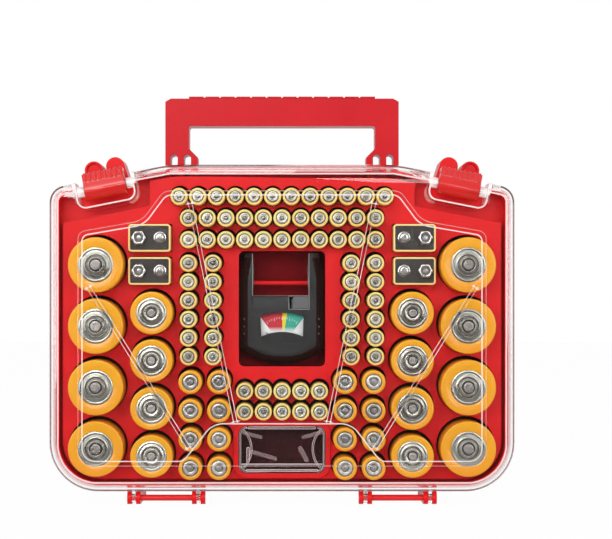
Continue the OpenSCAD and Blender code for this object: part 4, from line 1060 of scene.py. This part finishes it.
def put_tester():
    """The tester's front housing with its rounded sides, a ledge in its pocket and its grip dots.
    """
    lo, hi = case_box("tester_front")
    gap, no_gap = (-17.7, 4.0, 126.7), (9, 9, 9)
    window_half, window_foot = 18.5, 117
    side_top, side_foot, neck = 0.25, 9, 150
    shape = own_shape("tester_front", flat=True)
    # Front edges round the gap and the window are rounded in a light grey painted highlight
    rims = [
        e for e in shape.edges
        if len(e.link_faces) == 2 and e.is_convex and e.calc_face_angle() > 1
        and min(v.co.z for v in e.verts) > hi.z - 0.05
        and max(abs(v.co.x) for v in e.verts) < window_half
        and min(v.co.y for v in e.verts) > window_foot
    ]
    bmesh.ops.bevel(
        shape, geom=rims, offset=0.3, segments=2, profile=0.5, affect="EDGES",
        clamp_overlap=True, material=1,
    )
    step = 0.8
    for axis, low, high in ((0, lo.x, hi.x), (1, lo.y, hi.y)):
        count = round((high - low) / step)
        for i in range(1, count):
            normal = Vector((0, 0, 0))
            normal[axis] = 1
            spot = Vector((0, 0, 0))
            spot[axis] = low + (high - low) * i / count
            bmesh.ops.bisect_plane(
                shape, geom=shape.verts[:] + shape.edges[:] + shape.faces[:],
                plane_co=spot, plane_no=normal,
            )
    for v in shape.verts:
        if v.co.z > hi.z - 0.05:
            v.co.z -= tester_drop(v.co.x, v.co.y, lo, hi, gap)
    # Faces on the rounded sides take the reddish brown painted reflection
    for face in shape.faces:
        middle = face.calc_center_median()
        below = hi.z - middle.z
        if face.material_index == 0 and side_top < below < side_foot and middle.y < neck:
            drop = tester_drop(middle.x, middle.y, lo, hi, no_gap)
            face.material_index = 2 if drop > side_top else 0
    bmesh.ops.recalc_face_normals(shape, faces=shape.faces)
    finish_piece(
        "tester_front_housing", shape, [BLACK, BLACK_EDGE_PAINTED_HIGHLIGHT, BLACK_SIDE_PAINTED_REFLECTION], "case",
        ["tester_front"], sharp=40,
    )

    dots = []
    for x in (-22.9, 22.3):
        for y in (112.4, 107.9, 103.6):
            dot = bmesh.new()
            bmesh.ops.create_icosphere(dot, subdivisions=3, radius=0.5)
            drop = tester_drop(x, y, lo, hi, gap)
            bmesh.ops.translate(dot, vec=(x, y, hi.z - drop), verts=dot.verts)
            dots.append(dot)
    ledge_y, ledge_wide = 134.4, 2.6
    start, end = (gap[0] - 1, ledge_y), (gap[0] + 35, ledge_y)
    ledge = rib(start, end, ledge_wide, lo.z, rise=2.0)
    finish_piece("pocket_ledge", ledge, [RED_TRAY] * 3, "case", sharp=60)
    finish_piece("tester_grip_dots", join(dots), [GREY], "case", sharp=60)


# Where each field of the dial begins, in degrees from upright, and its colour
DIAL_FIELDS = [
    (-37, (0.62, 0.012, 0.03)), (0.6, (0.90, 0.70, 0.02)), (8.5, (0.03, 0.42, 0.30)),
    (37, (0.86, 0.86, 0.85)),
]


def put_dial():
    """The printed card: fields of colour with white marks along their upper edge."""
    hi = case_box("tester_dial")[1]
    pivot = STAND @ Vector((*NEEDLE_PIVOT, hi.z))
    card = dial_card(
        "Printed dial card", pivot, DIAL_FIELDS, (0.97, 0.97, 0.96), (0.0085, 0.0115)
    )
    finish_piece(
        "dial_card", own_shape("tester_dial"), [card], "case", ["tester_dial"]
    )
    marks = []
    reach, wide, thick, sunk, apart_deg = 17.6, 0.28, 0.12, 0.04, 5.4
    for i in range(-6, 7):
        mark = bmesh.new()
        bmesh.ops.create_cube(mark, size=1)
        long = 1.9 if i % 3 == 0 else 1.1
        bmesh.ops.scale(mark, vec=(wide, long, thick), verts=mark.verts)
        bmesh.ops.bevel(
            mark, geom=mark.edges[:], offset=0.04, segments=1, profile=0.5, affect="EDGES",
            material=-1,
        )
        bmesh.ops.translate(mark, vec=(0, reach - long / 2, 0), verts=mark.verts)
        mark.transform(
            Matrix.Translation((*NEEDLE_PIVOT, hi.z + sunk))
            @ Matrix.Rotation(math.radians(-i * apart_deg), 4, "Z")
        )
        marks.append(mark)
    finish_piece("dial_marks", join(marks), [WHITE_PRINT], "case", sharp=30)


def put_needle():
    """The needle, short enough to hide below the window at rest."""
    pivot = Vector(NEEDLE_PIVOT)
    long, short = 19.0, 12.8
    shape = own_shape("tester_needle")
    for v in shape.verts:
        away = v.co.xy - pivot
        if away.length > long / 2:
            v.co.xy = pivot + away * short / long
    finish_piece("meter_needle", shape, [NEEDLE], "needle", ["tester_needle"])


# The coin cell insert

# Start, end and width of each rib on the insert's face
INSERT_RIBS = (
    ((-20.5, 46.4), (20.5, 46.4), 1.7), ((-25.0, 44.0), (-12.0, 40.4), 2.2),
    ((25.0, 44.0), (12.0, 40.4), 2.2), ((-20.6, 34.6), (-20.6, 25.4), 1.9),
    ((10.6, 35.0), (15.6, 25.6), 2.6), ((-19.0, 32.0), (-3.0, 27.4), 2.4),
    ((-24.5, 24.2), (24.5, 24.2), 0.9), ((-22.0, 20.4), (22.0, 20.4), 1.5),
)


def rib(start, end, across, base, rise=0.5):
    """A low rounded rib on a moulding, from its start to its end, slim ones with a painted
    highlight on their edges.
    """
    run = Vector(end) - Vector(start)
    shape = bmesh.new()
    bmesh.ops.create_cube(shape, size=1)
    bmesh.ops.scale(shape, vec=(run.length, across, rise), verts=shape.verts)
    upright = [e for e in shape.edges if abs(e.verts[0].co.z - e.verts[1].co.z) > rise / 2]
    bmesh.ops.bevel(
        shape, geom=upright, offset=across * 0.45, segments=5, profile=0.5, affect="EDGES",
        material=-1,
    )
    rims = [e for e in shape.edges if min(v.co.z for v in e.verts) > 0.1]
    bmesh.ops.bevel(
        shape, geom=rims, offset=rise * 0.5, segments=3, profile=0.5, affect="EDGES", material=1
    )
    for face in shape.faces:
        face.material_index = 1 if face.material_index == 1 and across < 2 else 2
    middle = (Vector(start) + Vector(end)) / 2
    shape.transform(
        Matrix.Translation((*middle, base + rise / 2))
        @ Matrix.Rotation(math.atan2(run.y, run.x), 4, "Z")
    )
    return shape


def put_insert():
    """The clear insert: its CAD box with rounded edges in a painted highlight, and ribs on its
    face.
    """
    shape = own_shape("coin_tray", flat=True)
    top = max(v.co.z for v in shape.verts)
    corners = [
        e for e in shape.edges
        if len(e.link_faces) == 2 and e.is_convex and e.calc_face_angle() > math.radians(50)
        and min(v.co.z for v in e.verts) > top - 2.5
    ]
    bmesh.ops.bevel(
        shape, geom=corners, offset=0.4, segments=3, profile=0.5, affect="EDGES",
        clamp_overlap=True, material=1,
    )
    ribs = [rib(*ends, across, top + 0.02) for *ends, across in INSERT_RIBS]
    finish_piece(
        "clear_coin_insert", join([shape, *ribs]), [CLEAR_INSERT, INSERT_EDGE_PAINTED_HIGHLIGHT, INSERT_RIB], "case",
        ["coin_tray"], sharp=40,
    )


# The finish of each CAD node that keeps its own mesh
FINISHES = {
    "back_shell": RED_SHELL, "case_screws": ZINC, "handle": RED_HANDLE,
    "hinge_pin_left": RED_PIN, "hinge_pin_right": RED_PIN,
    "latch_pin_left": PIN_STEEL, "latch_pin_right": PIN_STEEL,
    "tester_back": BLACK, "tester_slider": GREY, "tester_window": CLEAR_WINDOW,
    "tester_meter": ZINC, "tester_contacts": PIN_STEEL,
}


def dress_nodes():
    """Gives the CAD nodes that keep their own mesh their finishes."""
    for node, material in FINISHES.items():
        mesh = NODES[node].data
        mesh.materials.clear()
        mesh.materials.append(material)


# Stage and light


def set_stage():
    """A white floor that keeps the case's shadow."""
    shape = bmesh.new()
    bmesh.ops.create_grid(shape, x_segments=1, y_segments=1, size=4)
    mesh = bpy.data.meshes.new("floor")
    shape.to_mesh(mesh)
    shape.free()
    floor = bpy.data.objects.new("floor", mesh)
    bpy.context.scene.collection.objects.link(floor)
    material, nodes, links, shader = tree_of("White floor")
    shader.inputs["Base Color"].default_value = (0.95, 0.95, 0.95, 1)
    shader.inputs["Roughness"].default_value = 0.9
    shader.inputs["Specular IOR Level"].default_value = 0
    glow = add(nodes, "ShaderNodeEmission")
    path = add(nodes, "ShaderNodeLightPath")
    seen = add(nodes, "ShaderNodeMath", operation="MAXIMUM")
    links.new(path.outputs["Is Camera Ray"], seen.inputs[0])
    links.new(path.outputs["Is Transmission Ray"], seen.inputs[1])
    also = add(nodes, "ShaderNodeMath", operation="MAXIMUM")
    links.new(seen.outputs[0], also.inputs[0])
    links.new(path.outputs["Is Glossy Ray"], also.inputs[1])
    share = add(nodes, "ShaderNodeMath", operation="MULTIPLY")
    links.new(also.outputs[0], share.inputs[0])
    share.inputs[1].default_value = 0.975
    place = add(nodes, "ShaderNodeNewGeometry")
    split = add(nodes, "ShaderNodeSeparateXYZ")
    links.new(place.outputs["Position"], split.inputs["Vector"])
    card = add(nodes, "ShaderNodeMapRange")
    card.inputs["From Min"].default_value = -0.18
    card.inputs["From Max"].default_value = -0.06
    card.inputs["To Min"].default_value = 0.03
    links.new(split.outputs["Y"], card.inputs["Value"])
    plain = add(nodes, "ShaderNodeMath", operation="MAXIMUM")
    links.new(card.outputs["Result"], plain.inputs[0])
    links.new(path.outputs["Is Camera Ray"], plain.inputs[1])
    links.new(plain.outputs[0], glow.inputs["Strength"])
    mix = add(nodes, "ShaderNodeMixShader")
    links.new(share.outputs[0], mix.inputs["Fac"])
    links.new(shader.outputs["BSDF"], mix.inputs[1])
    links.new(glow.outputs["Emission"], mix.inputs[2])
    links.new(mix.outputs["Shader"], nodes["Material Output"].inputs["Surface"])
    mesh.materials.append(material)


def set_world():
    """White behind the case, and a dark flag in front of it for reflections."""
    world = bpy.data.worlds.new("studio")
    bpy.context.scene.world = world
    world.use_nodes = True
    nodes, links = world.node_tree.nodes, world.node_tree.links
    nodes.clear()
    out = add(nodes, "ShaderNodeOutputWorld")
    sky = add(nodes, "ShaderNodeBackground")
    sky.inputs["Color"].default_value = (1, 1, 1, 1)
    links.new(sky.outputs["Background"], out.inputs["Surface"])
    path = add(nodes, "ShaderNodeLightPath")
    mirrored = add(nodes, "ShaderNodeMath", operation="MAXIMUM")
    links.new(path.outputs["Is Glossy Ray"], mirrored.inputs[0])
    links.new(path.outputs["Is Transmission Ray"], mirrored.inputs[1])
    place = add(nodes, "ShaderNodeTexCoord")
    split = add(nodes, "ShaderNodeSeparateXYZ")
    links.new(place.outputs["Generated"], split.inputs["Vector"])
    ramp = add(nodes, "ShaderNodeValToRGB")
    marks = ramp.color_ramp.elements
    marks[0].position, marks[1].position = 0.02, 0.09
    marks[0].color, marks[1].color = (0.04, 0.04, 0.04, 1), (0.72, 0.72, 0.72, 1)
    marks.new(0.45).color = (0.8, 0.8, 0.8, 1)
    marks.new(0.6).color = (1, 1, 1, 1)
    turn = add(nodes, "ShaderNodeMapRange")
    turn.inputs["From Min"].default_value = -1
    links.new(split.outputs["Y"], turn.inputs["Value"])
    links.new(turn.outputs["Result"], ramp.inputs["Fac"])
    light = add(nodes, "ShaderNodeMix")
    light.inputs["A"].default_value = 0.4
    links.new(mirrored.outputs[0], light.inputs["Factor"])
    links.new(ramp.outputs["Color"], light.inputs["B"])
    strength = add(nodes, "ShaderNodeMath", operation="MAXIMUM")
    links.new(light.outputs["Result"], strength.inputs[0])
    links.new(path.outputs["Is Camera Ray"], strength.inputs[1])
    links.new(strength.outputs[0], sky.inputs["Strength"])


def add_lamp(name, place, target, size, power):
    """A rectangular lamp that looks from its place to its target."""
    data = bpy.data.lights.new(name, "AREA")
    data.shape = "RECTANGLE"
    data.size, data.size_y = size
    data.energy = power
    lamp = bpy.data.objects.new(name, data)
    lamp.location = place
    lamp.rotation_euler = (Vector(target) - Vector(place)).to_track_quat("-Z", "Y").to_euler()
    bpy.context.scene.collection.objects.link(lamp)


def set_camera():
    """The photograph's view: level, in front of the case at half its height."""
    data = bpy.data.cameras.new("camera")
    data.lens, data.sensor_width = 101.5, 36
    data.shift_x, data.shift_y = 0.0392, 0.0498
    data.clip_start, data.clip_end = 0.05, 50
    camera = bpy.data.objects.new("camera", data)
    camera.location = (0, -1.06, 0.124)
    camera.rotation_euler = (math.radians(90), 0, 0)
    bpy.context.scene.collection.objects.link(camera)
    bpy.context.scene.camera = camera


WELLS = find_wells()
set_camera()
set_stage()
set_world()
add_lamp("key softbox", (-0.42, -1.6, 0.72), (0, 0, 0.12), (0.9, 0.5), 10.5)
add_lamp("fill softbox", (0.75, -1.5, 0.4), (0, 0, 0.12), (0.6, 0.7), 7)
add_lamp("left softbox", (-0.95, -1.3, 0.3), (0, 0, 0.12), (0.5, 0.6), 4)
add_lamp("top strip", (0, -0.45, 1.3), (0, 0, 0.2), (1.4, 0.12), 1.6)
add_lamp("left strip", (-1.2, -0.5, 0.3), (0, 0, 0.12), (0.12, 1.2), 2)
add_lamp("right strip", (1.2, -0.5, 0.3), (0, 0, 0.12), (0.12, 1.2), 2)
dress_nodes()
put_tray()
put_latches()
put_cells()
put_blocks()
put_tester()
put_dial()
put_needle()
put_insert()
put_lid()

bpy.context.scene.view_settings.view_transform = "Standard"
